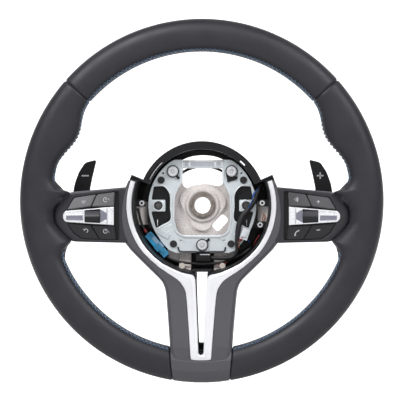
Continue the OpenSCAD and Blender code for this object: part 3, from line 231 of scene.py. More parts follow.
def cast_alloy():
    m = Mat("cast_alloy", Metallic=0.2, Roughness=0.55)
    speck = m.noise(700, 6, 0.7)
    blot = m.noise(55, 5, 0.6)
    pits = m.node("TexVoronoi", {"Vector": m.co, "Scale": 420.0}).outputs["Distance"]
    base = m.ramp(speck, [(0.3, (0.52, 0.48, 0.46)), (0.5, (0.78, 0.73, 0.71)), (0.7, (0.92, 0.89, 0.88))])
    base = m.mix(m.range(blot, 0.35, 0.7, 0.0, 0.35), base, (0.62, 0.54, 0.50))
    # Darker ring round the bush, on its shiny machined face: painted dark reflection
    dark_reflection_ring = m.range(from_axis(m), 0.0118, 0.0168, 0.75, 0.0)
    m.colour(m.mix(dark_reflection_ring, base, (0.24, 0.21, 0.20)))
    m.rough(speck, 0.45, 0.7)
    return m.bump(speck, 0.00025, 0.6).bump(pits, 0.0001, 0.4).m


def turned_steel():
    m = Mat("turned_steel", Metallic=1.0, Roughness=0.35)
    rings = m.math("SINE", m.math("MULTIPLY", from_axis(m), 16000.0))
    blot = m.noise(240, 5, 0.6)
    m.colour(m.mix(m.range(blot, 0.35, 0.7, 0.0, 1.0), (0.42, 0.38, 0.35), (0.20, 0.15, 0.12)))
    m.rough(blot, 0.25, 0.45)
    return m.bump(rings, 0.00002, 0.5).m


def thread(name, col):
    m = Mat(name, Roughness=0.55, Sheen_Weight=0.3)
    ply = m.noise(2400, 2, 0.5)
    m.colour(m.mix(m.range(ply, 0.35, 0.65, 0.0, 1.0), shade(col, 0.6), shade(col, 1.25)))
    return m.bump(ply, 0.00008, 0.6).m


def board():
    m = Mat("circuit_board", Roughness=0.35)
    traces = m.node("TexBrick", {"Vector": m.co, "Scale": 120.0, "Color1": (0.02, 0.12, 0.05, 1),
                                 "Color2": (0.02, 0.10, 0.04, 1), "Mortar": (0.04, 0.2, 0.08, 1)})
    m.colour(traces.outputs["Color"])
    return m.bump(m.noise(900, 3), 0.00003, 0.4).m


MATS = {
    "cast_alloy": cast_alloy(),
    "bush_steel": turned_steel(),
    "foam": moulded("foam", (0.035, 0.035, 0.04), 0.8, 1500),
    "rim_leather": leather(),
    "grey_plastic": moulded("grey_plastic", (0.082, 0.079, 0.090), 0.44, 2600, 0.00003),
    "bright_trim": metal("bright_trim", (0.95, 0.95, 0.98), 0.32, None, 0.02, 0.35, 0.08, 0.4),
    "black_plastic": moulded("black_plastic", (0.0075, 0.0075, 0.009), 0.42, 2200, Specular_IOR_Level=0.35),
    "pod_plastic": moulded("pod_plastic", (0.024, 0.0235, 0.029), 0.40, 2600, 0.00003),
    "button_plastic": button_plastic(),
    "circuit_board": board(),
    "silicone": moulded("silicone", (0.5, 0.53, 0.55), 0.6, 1800),
    "zinc_steel": metal("zinc_steel", (0.80, 0.81, 0.83), 0.3, (1, 1, 1), 0.06, 0.4),
    "plate_steel": metal("plate_steel", (0.68, 0.73, 0.76), 0.36, (1, 1, 3), 0.06, 0.3),
    "spring_steel": metal("spring_steel", (0.30, 0.30, 0.31), 0.35),
    "black_rubber": moulded("black_rubber", (0.014, 0.014, 0.016), 0.6, 1800),
    "cable_black": moulded("cable_black", (0.016, 0.016, 0.018), 0.5, 1600),
    "blue_plastic": moulded("blue_plastic", (0.035, 0.26, 0.47), 0.35, 2400, 0.00002, 0.1),
    "white_plastic": moulded("white_plastic", (0.74, 0.76, 0.80), 0.38, 2400, 0.00002, 0.05),
}
PRINT = moulded("print_white", (0.62, 0.62, 0.66), 0.5, 3000, 0.00001, 0.08)
THREAD = thread("thread_blue", (0.16, 0.26, 0.40))
COLLAR = moulded("collar_black", (0.009, 0.009, 0.011), 0.46, 900, 0.00012, Specular_IOR_Level=0.4)
# Brighter than the plate steel: the raised rims, lips, folds, pins and uprights are real, their extra
# brightness is a painted highlight
BEAD = metal("rolled_edge", (0.93, 0.95, 0.97), 0.3, None, 0.03, 0.3)
WINDOW_GREY = metal("bar_panel", (0.50, 0.51, 0.56), 0.4, None, 0.05, 0.4)
BEZEL = metal("bezel_satin", (0.95, 0.95, 0.98), 0.28, None, 0.02, 0.4, 0.05, 0.3)
# A darker copy of the bezel metal: painted shade on the bezels
BEZEL_PAINTED_SHADE = metal("bezel_painted_shade", (0.27, 0.27, 0.33), 0.3, None, 0.04, 0.4, 0.05, 0.3)
# A lighter copy of the pod plastic: painted highlight on the top of the pods' outer bevel
POD_TOP_HIGHLIGHT = moulded("pod_top_highlight", (0.105, 0.102, 0.122), 0.36, 2600, 0.00002)
POST = moulded("post_beige", (0.66, 0.60, 0.55), 0.5, 1800, 0.00002, 0.08)
COPPER = metal("copper_wire", (0.55, 0.27, 0.16), 0.4, None, 0.15, 0.6)
RED = moulded("wire_red", (0.30, 0.02, 0.02), 0.45, 2400, 0.00001, 0.15)
BLUE = moulded("wire_blue", (0.02, 0.10, 0.36), 0.45, 2400, 0.00001, 0.15)
BLUE_LIGHT = moulded("blue_light", (0.02, 0.36, 0.66), 0.35, 2400, 0.00002, 0.1)
BLUE_GREY = moulded("blue_grey", (0.24, 0.36, 0.50), 0.35, 2400, 0.00002, 0.1)
OTHERS = {"well_liner": COLLAR, "clip_wire": MATS["cable_black"], "spoke_posts": POST}


def paint_nodes():
    slots = {s["node"]: s["material_slot"] for s in frame["record"]["subparts"]}
    for name, o in NODES.items():
        mat = OTHERS.get(name) or MATS[slots[name]]
        if not o.material_slots:
            o.data.materials.append(mat)
        for s in o.material_slots:
            s.material = mat


paint_nodes()


def soften(node, width, segments=2, angle=28):
    """Small moulded or pressed radii along a CAD piece's edges, as modifiers only."""
    o = NODES[node]
    w = o.modifiers.new("weld", "WELD")
    w.merge_threshold = 0.00001
    b = o.modifiers.new("edges", "BEVEL")
    b.width, b.segments, b.limit_method = width / 1000, segments, "ANGLE"
    b.angle_limit = math.radians(angle)
    b.harden_normals = False
    n = o.modifiers.new("normals", "WEIGHTED_NORMAL")
    n.keep_sharp = True


def build(name, verts, faces, mat, body="wheel", smooth=True):
    me = bpy.data.meshes.new(name)
    me.from_pydata([tuple(v) for v in verts], [], faces)
    bm = bmesh.new()
    bm.from_mesh(me)
    bmesh.ops.recalc_face_normals(bm, faces=bm.faces)
    bm.to_mesh(me)
    bm.free()
    if smooth:
        for p in me.polygons:
            p.use_smooth = True
    me.materials.append(mat)
    o = bpy.data.objects.new(name, me)
    bpy.context.collection.objects.link(o)
    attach(o, body)
    return o


def grid(rows, closed_across=True, base=0):
    n, m = len(rows), len(rows[0])
    faces = []
    for i in range(n - 1):
        for j in range(m if closed_across else m - 1):
            a, b = i * m, (i + 1) * m
            k = (j + 1) % m
            faces.append((base + a + j, base + a + k, base + b + k, base + b + j))
    return faces


def spline(points, per):
    p = [Vector(q) for q in points]
    n = len(p) - 1
    out = []
    for i in range(n):
        a, b, c, d = p[max(i - 1, 0)], p[i], p[i + 1], p[min(i + 2, n)]
        for k in range(per):
            t = k / per
            out.append(0.5 * (2 * b + (c - a) * t + (2 * a - 5 * b + 4 * c - d) * t * t
                              + (3 * b - a - 3 * c + d) * t ** 3))
    return out + [p[-1]]


def tube_rows(points, r, sides=10):
    rows = []
    n = len(points) - 1
    ref = None
    for i, p in enumerate(points):
        t = (points[min(i + 1, n)] - points[max(i - 1, 0)]).normalized()
        s = t.cross(ref if ref else Vector((0.05, 0.02, 1))).normalized()
        u = s.cross(t)
        ref = u
        rows.append([p + r * (math.cos(2 * math.pi * j / sides) * s + math.sin(2 * math.pi * j / sides) * u)
                     for j in range(sides)])
    return rows


def tubes(name, lines, r, mat, body="wheel", sides=8):
    """Round threads or wires along lines of points, in metres, as one piece."""
    verts, faces = [], []
    for line in lines:
        rows = tube_rows(line, r, sides)
        base = len(verts)
        for row in rows:
            verts.extend(row)
        faces += grid(rows, base=base)
        faces.append(tuple(base + j for j in range(sides))[::-1])
        faces.append(tuple(base + (len(rows) - 1) * sides + j for j in range(sides)))
    return build(name, verts, faces, mat, body)


# Rim

def hill(t, c, w):
    return (1 + math.cos(math.pi * (t - c) / w)) / 2 if abs(t - c) < w else 0.0


# How far the grip swells in round a pod: angle from the top, millimetres
ROOT = [(81, 0), (82.4, 1.2), (83.6, 3.4), (84.7, 6.6), (85.65, 10.4), (86, 14.4), (86.4, 17.2),
        (86.8, 17.2), (87.5, 15.0), (88.3, 12.3), (89.3, 9.2), (90.4, 6.2), (91.4, 4.1), (92.3, 2.5),
        (93.3, 1.2), (94.4, 0.2), (98.4, 0.1), (99.4, 0.9), (100.6, 2.4), (101.5, 3.8), (103, 6),
        (104.4, 8.2), (105.8, 10.4),
        (106.8, 12.2), (107.3, 12.8), (107.8, 11.4),
        (108.6, 8.4), (109.8, 4.4), (111.2, 1.9), (112.6, 0.5), (114, 0)]


def swell(t):
    root = 0.0
    for (t0, v0), (t1, v1) in zip(ROOT, ROOT[1:]):
        if t0 <= t <= t1:
            root = v0 + (v1 - v0) * (t - t0) / (t1 - t0)
    return THUMB_BULGE * hill(t, THUMB_ANGLE, THUMB_SPREAD) + root


def power(v, e):
    return math.copysign(abs(v) ** e, v)


def slant_at(t):
    return FOOT_SLANT * max(0.0, t - 146) / (FOOT - 146)


def grip(t, a, inset=0.0, side=1):
    """A point of the grip: t from the top to the left (side 1) or the right (-1), a round the section."""
    x, y = power(math.cos(math.radians(a)), 0.85), power(math.sin(math.radians(a)), 0.85)
    half = GRIP_W / 2 - inset
    q = x * half if x > 0 else x * (half + swell(abs(t)))
    turn = math.radians(t + slant_at(t) * q / half)
    return Vector((-side * (RIM_R + q) * math.sin(turn), RIM_LIFT + (RIM_R + q) * math.cos(turn),
                   RIM_H + y * (GRIP_D / 2 - inset)))


def ease(points, t):
    """A smooth curve through (t, value) pairs."""
    if t <= points[0][0]:
        return points[0][1]
    for (t0, v0), (t1, v1) in zip(points, points[1:]):
        if t <= t1:
            s = (t - t0) / (t1 - t0)
            return v0 + (v1 - v0) * s * s * (3 - 2 * s)
    return points[-1][1]


# Where the cross-stitched seam runs round the section
SEAM_LINE = [(0, 154), (44, 153), (53, 162), (61, 180), (70, 184), (76, 170), (81, 163), (86, 168),
             (107, 166), (112, 160), (120, 155), (150, 154), (160, 151), (170, 147)]


def seam_at(t):
    return ease(SEAM_LINE, abs(t))


# Stitched runs and their number of crosses: the whole top panel, then each side panel's two
RUNS = ((-48.3, 48.3, 56), (48.7, 83.0, 20), (110.2, 169.2, 34))
STITCH_REACH = 2.1  # millimetres from the seam to a needle hole
THREAD_R = 0.00031


def stitch_at(t):
    """How many stitches t lies along its run, or None off the seams."""
    t = t if abs(t) < 48.5 else abs(t)
    for a, b, n in RUNS:
        if a <= t <= b:
            return (t - a) / (b - a) * n
    return None


def leather_inset(t, a, ends):
    """How far the leather lies in: rolled-in panel ends, the drawn-in seam and the pull of its stitches."""
    inset = 0.0
    for e in ends:
        s = abs(t - e) * math.radians(1) * RIM_R
        inset += 1.25 * math.exp(-(s / 0.9) ** 2)
    d = (a - seam_at(t)) * math.radians(1) * SECTION_R
    k = stitch_at(t)
    if k is not None:
        inset += 0.8 * math.exp(-(d / 0.8) ** 2)
        wave = 0.5 + 0.5 * math.cos(2 * math.pi * k)
        inset += 0.5 * wave * (math.exp(-((d - 2.2) / 1.0) ** 2) + math.exp(-((d + 2.2) / 1.0) ** 2))
        inset -= 0.25 * (1 - wave) * math.exp(-(d / 3.6) ** 2)
    return inset


def panel(name, t0, t1, side, node):
    step = 0.5
    n = int(round((t1 - t0) / step))
    ts = sorted({t0 + (t1 - t0) * i / n for i in range(n + 1)}
                | {t0 + k for k in (0.12, 0.28)} | {t1 - k for k in (0.12, 0.28)})
    around = [360 * j / 44 for j in range(44)]
    rows = []
    for t in ts:
        centre = seam_at(t)
        angles = sorted({a for a in around if abs((a - centre + 180) % 360 - 180) > 24}
                        | {centre + k * 3.2 for k in range(-8, 9)})
        rows.append([at(*grip(t, a, leather_inset(t, a, (t0, t1)), side)) for a in angles])
    width = min(len(r) for r in rows)
    if any(len(r) != width for r in rows):
        rows = [resample(r, 60) for r in rows]
    verts = [v for r in rows for v in r]
    faces = grid(rows)
    m = len(rows[0])
    faces.append(tuple(range(m))[::-1])
    faces.append(tuple((len(rows) - 1) * m + j for j in range(m)))
    o = build(name, verts, faces, MATS["rim_leather"])
    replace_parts(o, node)
    return o


def resample(row, n):
    """The same closed loop with n points, evenly spaced along it from its first point."""
    pts = row + [row[0]]
    length = [0.0]
    for a, b in zip(pts, pts[1:]):
        length.append(length[-1] + (b - a).length)
    out, k = [], 0
    for i in range(n):
        s = length[-1] * i / n
        while length[k + 1] < s:
            k += 1
        f = (s - length[k]) / max(1e-12, length[k + 1] - length[k])
        out.append(pts[k].lerp(pts[k + 1], f))
    return out


panel("rim_leather_top", -SEAM, SEAM, 1, "leather_top")
panel("rim_leather_left", SEAM, FOOT, 1, "leather_left")
panel("rim_leather_right", SEAM, FOOT, -1, "leather_right")


def cross_stitches():
    lines = []
    reach = math.degrees(STITCH_REACH / SECTION_R)

    def leg(t_a, s_a, t_b, s_b, side, lift):
        pts = []
        for k in range(6):
            f = k / 5
            t = t_a + (t_b - t_a) * f
            a = seam_at(t) + reach * (s_a + (s_b - s_a) * f)
            arch = math.sin(math.pi * f)
            pts.append(at(*grip(t, a, 0.55 - (0.55 + lift) * arch ** 0.6, side)))
        return pts

    runs = [(*RUNS[0], 1)] + [(*r, s) for r in RUNS[1:] for s in (1, -1)]
    for t0, t1, n, side in runs:
        pitch = (t1 - t0) / n
        for k in range(n):
            t = t0 + k * pitch
            lines.append(leg(t, -1, t + pitch * 0.86, 1, side, 0.26))
            lines.append(leg(t, 1, t + pitch * 0.86, -1, side, 0.52))
    return tubes("rim_stitches", lines, THREAD_R, THREAD, sides=6)


cross_stitches()


# Switches: rounded edges, pod frames and bezels

for n in ("left_button_cancel", "left_button_limit", "left_button_return", "left_button_distance",
          "right_button_voice", "right_button_plus", "right_button_phone", "right_button_minus"):
    soften(n, 0.45, 3)
for n, w in (("left_paddle", 0.9), ("right_paddle", 0.9), ("horn_plate", 0.45), ("left_rocker", 0.5),
             ("right_thumbwheel", 0.15), ("blue_connector", 0.3), ("white_connector", 0.3),
             ("bottom_plug", 0.3), ("horn_insulators", 0.3), ("plate_pads", 0.3), ("horn_screws", 0.2),
             ("left_contact_block", 0.3), ("right_contact_block", 0.3), ("armature", 0.5)):
    soften(n, w)


def ring(cx, cy, r, a0, a1, n=16):
    return [(cx + r * math.cos(math.radians(a0 + (a1 - a0) * i / n)),
             cy + r * math.sin(math.radians(a0 + (a1 - a0) * i / n))) for i in range(n + 1)]


def rounded_loop(points, r, per=6):
    out = []
    for i, p in enumerate(points):
        a, b, c = Vector(points[i - 1]), Vector(p), Vector(points[(i + 1) % len(points)])
        u, v = a - b, c - b
        k = min(r, u.length * 0.45, v.length * 0.45)
        p, q = b + u.normalized() * k, b + v.normalized() * k
        for j in range(per + 1):
            t = j / per
            out.append(p * (1 - t) ** 2 + b * 2 * t * (1 - t) + q * t ** 2)
    return out


def ray_loop(points, centre, angles):
    """Where rays from a centre meet a closed outline."""
    out = []
    for a in angles:
        d = Vector((math.cos(a), math.sin(a)))
        far = 0.0
        for i, p in enumerate(points):
            p, q = Vector(p) - centre, Vector(points[(i + 1) % len(points)]) - centre
            e = q - p
            det = d.y * e.x - d.x * e.y
            if abs(det) > 1e-12:
                t, s = (p.y * e.x - p.x * e.y) / det, (d.x * p.y - d.y * p.x) / det
                if -1e-6 <= s <= 1 + 1e-6:
                    far = max(far, t)
        out.append(centre + d * far)
    return out


POD_OUTLINE = [(-70, 19.2), (-133.4, 13.5), (-139.6, 9.6), (-144.9, 3.8), (-148.4, -1.4), (-150.2, -6.4),
               (-150.6, -10.8), (-150.2, -15.2), (-148.8, -19.6), (-144.9, -24.8), (-139, -31.2),
               (-133.4, -36.2), (-128, -37.2), (-70, -38.6)]
SWITCH_OUTLINE = [(-141.6, -11), (-137.1, -4.9), (-129.9, 8), (-107.2, 11.4), (-88, 14.0), (-84.2, 14.2),
                  (-84.2, -35.6), (-103.2, -35.2), (-121.2, -34.4), (-130.4, -28.4), (-137, -18)]


def pod(name, node, side):
    """The frame round a group of switches: a soft crown over a dark well."""
    centre = Vector((-110, -11))
    outer, inner = rounded_loop(POD_OUTLINE, 2.2), rounded_loop(SWITCH_OUTLINE, 1.2)
    angles = sorted({2 * math.pi * k / 200 for k in range(200)}
                    | {math.atan2(*(Vector(q) - centre).yx) % (2 * math.pi) for q in outer + inner})
    angles = [a for i, a in enumerate(angles) if i == 0 or a - angles[i - 1] > 1e-4]
    a, b = ray_loop(outer, centre, angles), ray_loop(inner, centre, angles)

    def row(f, h):
        return [at(side * (p.x + (q.x - p.x) * f), p.y + (q.y - p.y) * f, h) for p, q in zip(a, b)]

    rows = [row(f, h) for f, h in ((0, 30), (0, 46.9), (0.07, 47.9), (0.2, 48.5), (0.5, 48.9), (0.9, 48.9),
                                   (1, 48.6), (1, 46.2))]
    verts = [v for r in rows for v in r]
    faces = grid(rows)
    m = len(angles)
    dark = (len(rows) - 2) * m
    faces += [tuple(range(m))[::-1], tuple((len(rows) - 1) * m + j for j in range(m))]
    o = build(name, verts, faces, MATS["pod_plastic"])
    o.data.materials.append(MATS["black_plastic"])
    o.data.materials.append(POD_TOP_HIGHLIGHT)
    for i, f in enumerate(o.data.polygons):
        f.use_smooth = m <= i < dark
        f.material_index = 1 if dark <= i < dark + m or i == len(faces) - 1 else 0
        a0 = angles[i % m]
        # Painted highlight: the upper part of the outer bevel takes the lighter pod plastic
        if m <= i < 3 * m and 0.12 < a0 < 2.75:
            f.material_index = 2
    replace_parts(o, node)


def mirror_x(x, side):
    return x if side > 0 else -x


# Places along a bezel, from its tip to its end
BEZEL_TIP, BEZEL_ROUND, BEZEL_END, BEZEL_H = -141, -136.5, -89, 50.6
RIDGE, WINDOW, FACETS, LINE = (-138.6, -120.4), (-118.9, -103.1), (-103.1, -96.2), (-96.2, -95.6)
RIDGE_V, RIDGE_EDGE, WINDOW_V, FACET_V = 0.12, 0.62, 0.87, 0.8


def bezel(name, node, side):
    """The bright bezel of a pod: a ridged panel, the wheel's window, small facets and a flat end; the ridge's
    lower half, the facets and the groove line take painted shade.
    """
    xs = sorted({-141 + 0.02, -140.8, -140.4, -139.9, -139.2, -138.4} | {-137.6 + 0.55 * k for k in range(89)}
                | {-118.9, -103.1, -96.2, -95.6, -89.02})
    xs = [x for x in xs if x <= -89.01]
    vs = sorted({-1 + 2 * k / 30 for k in range(31)} | {-0.87, 0.87, -0.62, 0.62, -0.56, 0.56, -0.96, 0.96})

    def half(x, up):
        f = math.sqrt(max(0.0, 1 - ((BEZEL_ROUND - x) / 4.52) ** 2)) if x < BEZEL_ROUND else 1.0
        along = (x - BEZEL_ROUND) / (BEZEL_END - BEZEL_ROUND)
        line = 5.6 + along * 4.1 if up else 6.0 + along * 3.0
        return f * line

    def height(x, v):
        dist = min((1 - abs(v)) * half(x, v > 0), BEZEL_END - x + 0.02, (x - BEZEL_TIP) * 0.8)
        h = BEZEL_H - 0.5 * max(0.0, 1 - dist / 0.8) ** 2
        if RIDGE[0] < x < RIDGE[1]:
            edge = min(1.0, (x - RIDGE[0]) / 1.4, (RIDGE[1] - x) / 0.5)
            inside = min(1.0, max(0.0, (0.7 - abs(v)) / 0.06))
            h -= edge * inside * (0.2 + (1.35 if v < RIDGE_V else 0.9) * min(1.0, abs(v - RIDGE_V) / 0.74))
        elif FACETS[0] <= x < FACETS[1]:
            f = (x - FACETS[0]) / 6.9
            h -= 1.3 * (1 - f) * (1 if abs(v) < FACET_V * (1 - 0.55 * f) else 0.35) * (1 - 0.55 * abs(v))
        elif LINE[0] <= x <= LINE[1] + 0.4:
            h -= 0.9
        elif x > -95.4:
            h -= 0.25 * math.sin(math.pi * min(1.0, (x + 95.4) / 6.4))
        return h

    # Where the bezel takes the darker metal as painted shade: the ridge's lower half, the small facets and
    # the groove line
    def painted_shade_at(x, v):
        if RIDGE[0] + 0.6 < x < RIDGE[1] - 0.2 and -RIDGE_EDGE < v < RIDGE_V:
            return True
        f = (x - FACETS[0]) / 6.9
        if FACETS[0] < x < FACETS[1] and abs(v) < FACET_V * (1 - 0.55 * f):
            return True
        return LINE[0] < x < LINE[1] and abs(v) < WINDOW_V

    bm = bmesh.new()
    cells = {}
    for i, x in enumerate(xs):
        for j, v in enumerate(vs):
            cells[i, j] = bm.verts.new(at(mirror_x(x, side), WHEEL_Y + v * half(x, v > 0), height(x, v)))
    for i in range(len(xs) - 1):
        for j in range(len(vs) - 1):
            x, v = (xs[i] + xs[i + 1]) / 2, (vs[j] + vs[j + 1]) / 2
            if not (WINDOW[0] < x < WINDOW[1] and abs(v) < WINDOW_V):
                f = bm.faces.new([cells[i, j], cells[i + 1, j], cells[i + 1, j + 1], cells[i, j + 1]])
                f.material_index = 1 if painted_shade_at(x, v) else 0
    bmesh.ops.delete(bm, geom=[v for v in bm.verts if not v.link_faces], context="VERTS")
    edges = [e for e in bm.edges if e.is_boundary]
    wall = bmesh.ops.extrude_edge_only(bm, edges=edges)["geom"]
    for v in wall:
        if isinstance(v, bmesh.types.BMVert):
            v.co.y = -0.0485
    bmesh.ops.recalc_face_normals(bm, faces=bm.faces)
    me = bpy.data.meshes.new(name)
    bm.to_mesh(me)
    bm.free()
    me.materials.append(BEZEL)
    me.materials.append(BEZEL_PAINTED_SHADE)
    for f in me.polygons:
        f.use_smooth = False
        if abs(f.normal.y) < 0.2:
            f.material_index = 0
    o = bpy.data.objects.new(name, me)
    bpy.context.collection.objects.link(o)
    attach(o, "wheel")
    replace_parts(o, node)


for side, word in ((1, "left"), (-1, "right")):
    pod(word + "_pod_frame", word + "_pod", side)
    bezel(word + "_bezel_facets", word + "_bezel", side)


# Horn plate: rolled edges, the bar's panels, uprights behind the windows

def curve_mm(points, h, per=5):
    pts = [(*q, h) for q in points]
    return [at(*q) for q in spline(pts, per)]


def plate_details():
    h = PLATE_FRONT + 0.05
    opening = [(-20.7, 46.2), (-20.7, 38.9), (-21, 31), (-21.2, 24.6), (-25.2, 17.4), (-28.2, 10.8),
               (-29, 3), (-29.3, -10), (-29.2, -20.9), (-27.6, -26.4), (-24.6, -29.6), (-19.5, -31.3),
               (-9, -31.5), (0, -31.5), (9, -31.5),
               (20.1, -31.3), (25.4, -29.6), (28.2, -26.4), (29.2, -20.9), (29.2, -10), (29, 3), (28.5, 10.8),
               (25.8, 17.4), (22.5, 24.6), (21.8, 31), (21.6, 38.9), (21.6, 46.2)]
    tubes("plate_rolled_edge", [curve_mm(opening, h)], 0.00072, BEAD, "horn_plate", sides=8)
    left = [(-50.6, 21.0), (-39.6, 19.8), (-33.4, 11.4), (-33.1, -2), (-33.1, -15.6), (-47.4, -24.2)]
    both = [curve_mm([(k * x, y) for x, y in left], h, 4) for k in (1, -1)]
    tubes("plate_window_edges", both, 0.0004, BEAD, "horn_plate", sides=6)
    bar = ([(-20, 46.0), (20.8, 46.0)], [(-20, 38.9), (20.8, 38.9)],
           [(-13.2, 45.8), (-13.2, 39.1)], [(13.6, 45.8), (13.6, 39.1)])
    tubes("plate_bar_edges", [[at(*q, h) for q in line] for line in bar], 0.0007, BEAD, "horn_plate", sides=8)
    verts, faces = [], []
    for x0, x1 in ((-18.2, -14.6), (-11.8, 12.2), (15, 19)):
        k = len(verts)
        verts += [at(x, y, PLATE_FRONT + 0.03) for x, y in ((x0, 40.1), (x1, 40.1), (x1, 44.8), (x0, 44.8))]
        verts += [at(x, y, PLATE_FRONT - 0.3) for x, y in ((x0, 40.1), (x1, 40.1), (x1, 44.8), (x0, 44.8))]
        faces += [(k, k + 1, k + 2, k + 3), (k + 7, k + 6, k + 5, k + 4)]
        faces += [(k + j, k + 4 + j, k + 4 + (j + 1) % 4, k + (j + 1) % 4) for j in range(4)]
    build("plate_bar_panels", verts, faces, WINDOW_GREY, "horn_plate", smooth=False)
    arcs = [ring(-45.5, -0.3, 4.9, -120, 75, 14), ring(45.5, -0.3, 4.9, 70, 250, 14),
            ring(45.5, -0.3, 6.1, 95, 215, 12)]
    lips = [[at(*q, h + 0.15) for q in line] for line in arcs]
    tubes("plate_hole_lips", lips, 0.00055, BEAD, "horn_plate", sides=6)
    # Creases of the ramps beside the lower pads, as bright lines: painted highlights along the folds
    folds = [[(-45.2, -27.0), (-38, -22.5), (-31.5, -19.5)], [(-41.8, -31.0), (-36.4, -27.6), (-31, -25.6)],
             [(45.2, -25.4), (38, -21.5), (32, -18.8)]]
    folds = [[at(*q, h - 0.1) for q in line] for line in folds]
    tubes("plate_ramp_folds", folds, 0.0003, BEAD, "horn_plate", sides=6)


plate_details()


def front_of(node):
    """The front of a CAD piece, in millimetres towards the driver."""
    return -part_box(node)[0][1] * 1000


def disc_rows(cx, cy, r, h, n=20):
    turns = [2 * math.pi * k / n for k in range(n)]
    return [at(cx + r * math.cos(a), cy + r * math.sin(a), h) for a in turns]


def screw_details():
    verts, faces = [], []
    # Black discs on the pod screws' faces: painted shade of their hollows
    h = front_of("pod_screws")
    for x, y in ((-62.3, 2.3), (62, 2.4), (59.8, -20.1)):
        k = len(verts)
        verts += disc_rows(x, y, 1.35, h + 0.02) + disc_rows(x, y, 1.35, h - 0.6)
        faces += [tuple(range(k, k + 20)), tuple(range(k + 39, k + 19, -1))]
        faces += [(k + j, k + 20 + j, k + 20 + (j + 1) % 20, k + (j + 1) % 20) for j in range(20)]
    build("pod_screw_hollow_shade", verts, faces, MATS["black_plastic"], smooth=False)
    h = front_of("horn_screws")
    lines = []
    for x, y in ((-30.4, 35.1), (30.4, 35.1), (0, -41.2)):
        lines.append([at(*q, h - 0.1) for q in ring(x, y, 4.3, 0, 360, 24)])
        lines.append([at(*q, h - 0.05) for q in ring(x, y, 2.75, 0, 360, 18)])
    tubes("horn_screw_rings", lines, 0.00028, WINDOW_GREY, sides=6)
    pins = []
    for x, y in ((-30.4, 35.1), (30.4, 35.1), (0, -41.2)):
        pins.append([at(x, y, h - 2.4), at(x, y, h - 0.6), at(x, y, h - 0.2)])
    tubes("horn_screw_pins", pins, 0.0009, BEAD, sides=10)
    left, right = front_of("left_contact_block") + 0.2, front_of("right_contact_block") + 0.2
    up = [[at(-46.5, -14.6, left), at(-46.4, -21, left)], [at(45.8, -14.8, right), at(45.9, -21.2, right)]]
    tubes("contact_uprights", up, 0.0004, BEAD, sides=6)


screw_details()


def ribbon(lines, width, h, thick=0.06):
    """Printed strokes, drawn as flat strips that lie on a face at height h."""
    verts, faces = [], []
    for line in lines:
        p = [Vector(q) for q in line]
        n = len(p)
        rows = []
        for i in range(n):
            t = (p[min(i + 1, n - 1)] - p[max(i - 1, 0)]).normalized()
            s = Vector((-t.y, t.x)) * width / 2
            a, b = p[i] + s, p[i] - s
            corners = (a, h + thick), (b, h + thick), (b, h - 0.02), (a, h - 0.02)
            rows.append([at(q.x, q.y, z) for q, z in corners])
        base = len(verts)
        for r in rows:
            verts.extend(r)
        faces += grid(rows, base=base)
        faces.append((base, base + 1, base + 2, base + 3))
        e = base + (n - 1) * 4
        faces.append((e + 3, e + 2, e + 1, e))
    return verts, faces


def sign(name, lines, width, h, body, mat=None):
    v, f = ribbon(lines, width, h)
    return build(name, v, f, mat or PRINT, body, smooth=False)


TOP_H = POD_H + BUTTON_PROUD


def signs():
    # Left pod: two plain bars, a gauge, a return arrow, a distance gauge
    sign("left_cancel_sign", [[(-122.2, 4.2), (-117.6, 4.2)], [(-121.4, 2.6), (-118.4, 2.6)]],
         0.5, TOP_H, "left_button_cancel")
    sign("left_limit_sign", [ring(-97.6, 5.6, 2.1, 60, 320), [(-97.6, 5.6), (-96.2, 7.2)],
                             [(-95.3, 6.8), (-93.6, 5.2)]], 0.45, TOP_H, "left_button_limit")
    sign("left_return_sign", [ring(-117.2, -25.9, 1.8, -80, 150),
                              [(-120.4, -24.6), (-118.9, -24.2), (-118.7, -26.2)]],
         0.5, TOP_H, "left_button_return")
    sign("left_distance_sign", [ring(-97.6, -26.4, 2.1, 30, 330), [(-97.6, -26.4), (-96.0, -25.2)],
                                [(-95.2, -26.0), (-93.8, -27.6)]], 0.45, TOP_H, "left_button_distance")
    # Right pod: speech waves, plus, handset, minus
    sign("right_voice_sign", [[(94.2, 5.9), (94.9, 5.9)], ring(93.6, 5.9, 2.9, -34, 34, 8),
                              ring(93.6, 5.9, 4.5, -34, 34, 8)], 0.6, TOP_H, "right_button_voice")
    sign("right_plus_sign", [[(117.2, 3.6), (120.4, 3.6)], [(118.8, 2.0), (118.8, 5.2)]],
         0.7, TOP_H, "right_button_plus")
    sign("right_phone_sign", [[(95.0, -30.6), (95.4, -28.6), (97.0, -26.4), (99.0, -25.5)]],
         0.75, TOP_H, "right_button_phone")
    sign("right_phone_ends", [[(94.4, -30.6), (96.0, -30.2)], [(98.4, -26.5), (99.2, -25.0)]],
         1.1, TOP_H, "right_button_phone")
    sign("right_minus_sign", [[(117.0, -25.3), (120.6, -24.9)]], 0.75, TOP_H, "right_button_minus")
    # Shift paddles
    sign("left_paddle_sign", [[(-125.9, 30.9), (-118.4, 30.9)]], 1.5, PADDLE_FRONT, "left_paddle")
    sign("right_paddle_sign", [[(118.7, 30.8), (125.5, 30.8)], [(122.1, 27.4), (122.1, 34.2)]],
         1.4, PADDLE_FRONT, "right_paddle")


signs()


# Wiring: smooth cables in the place of the plain ones

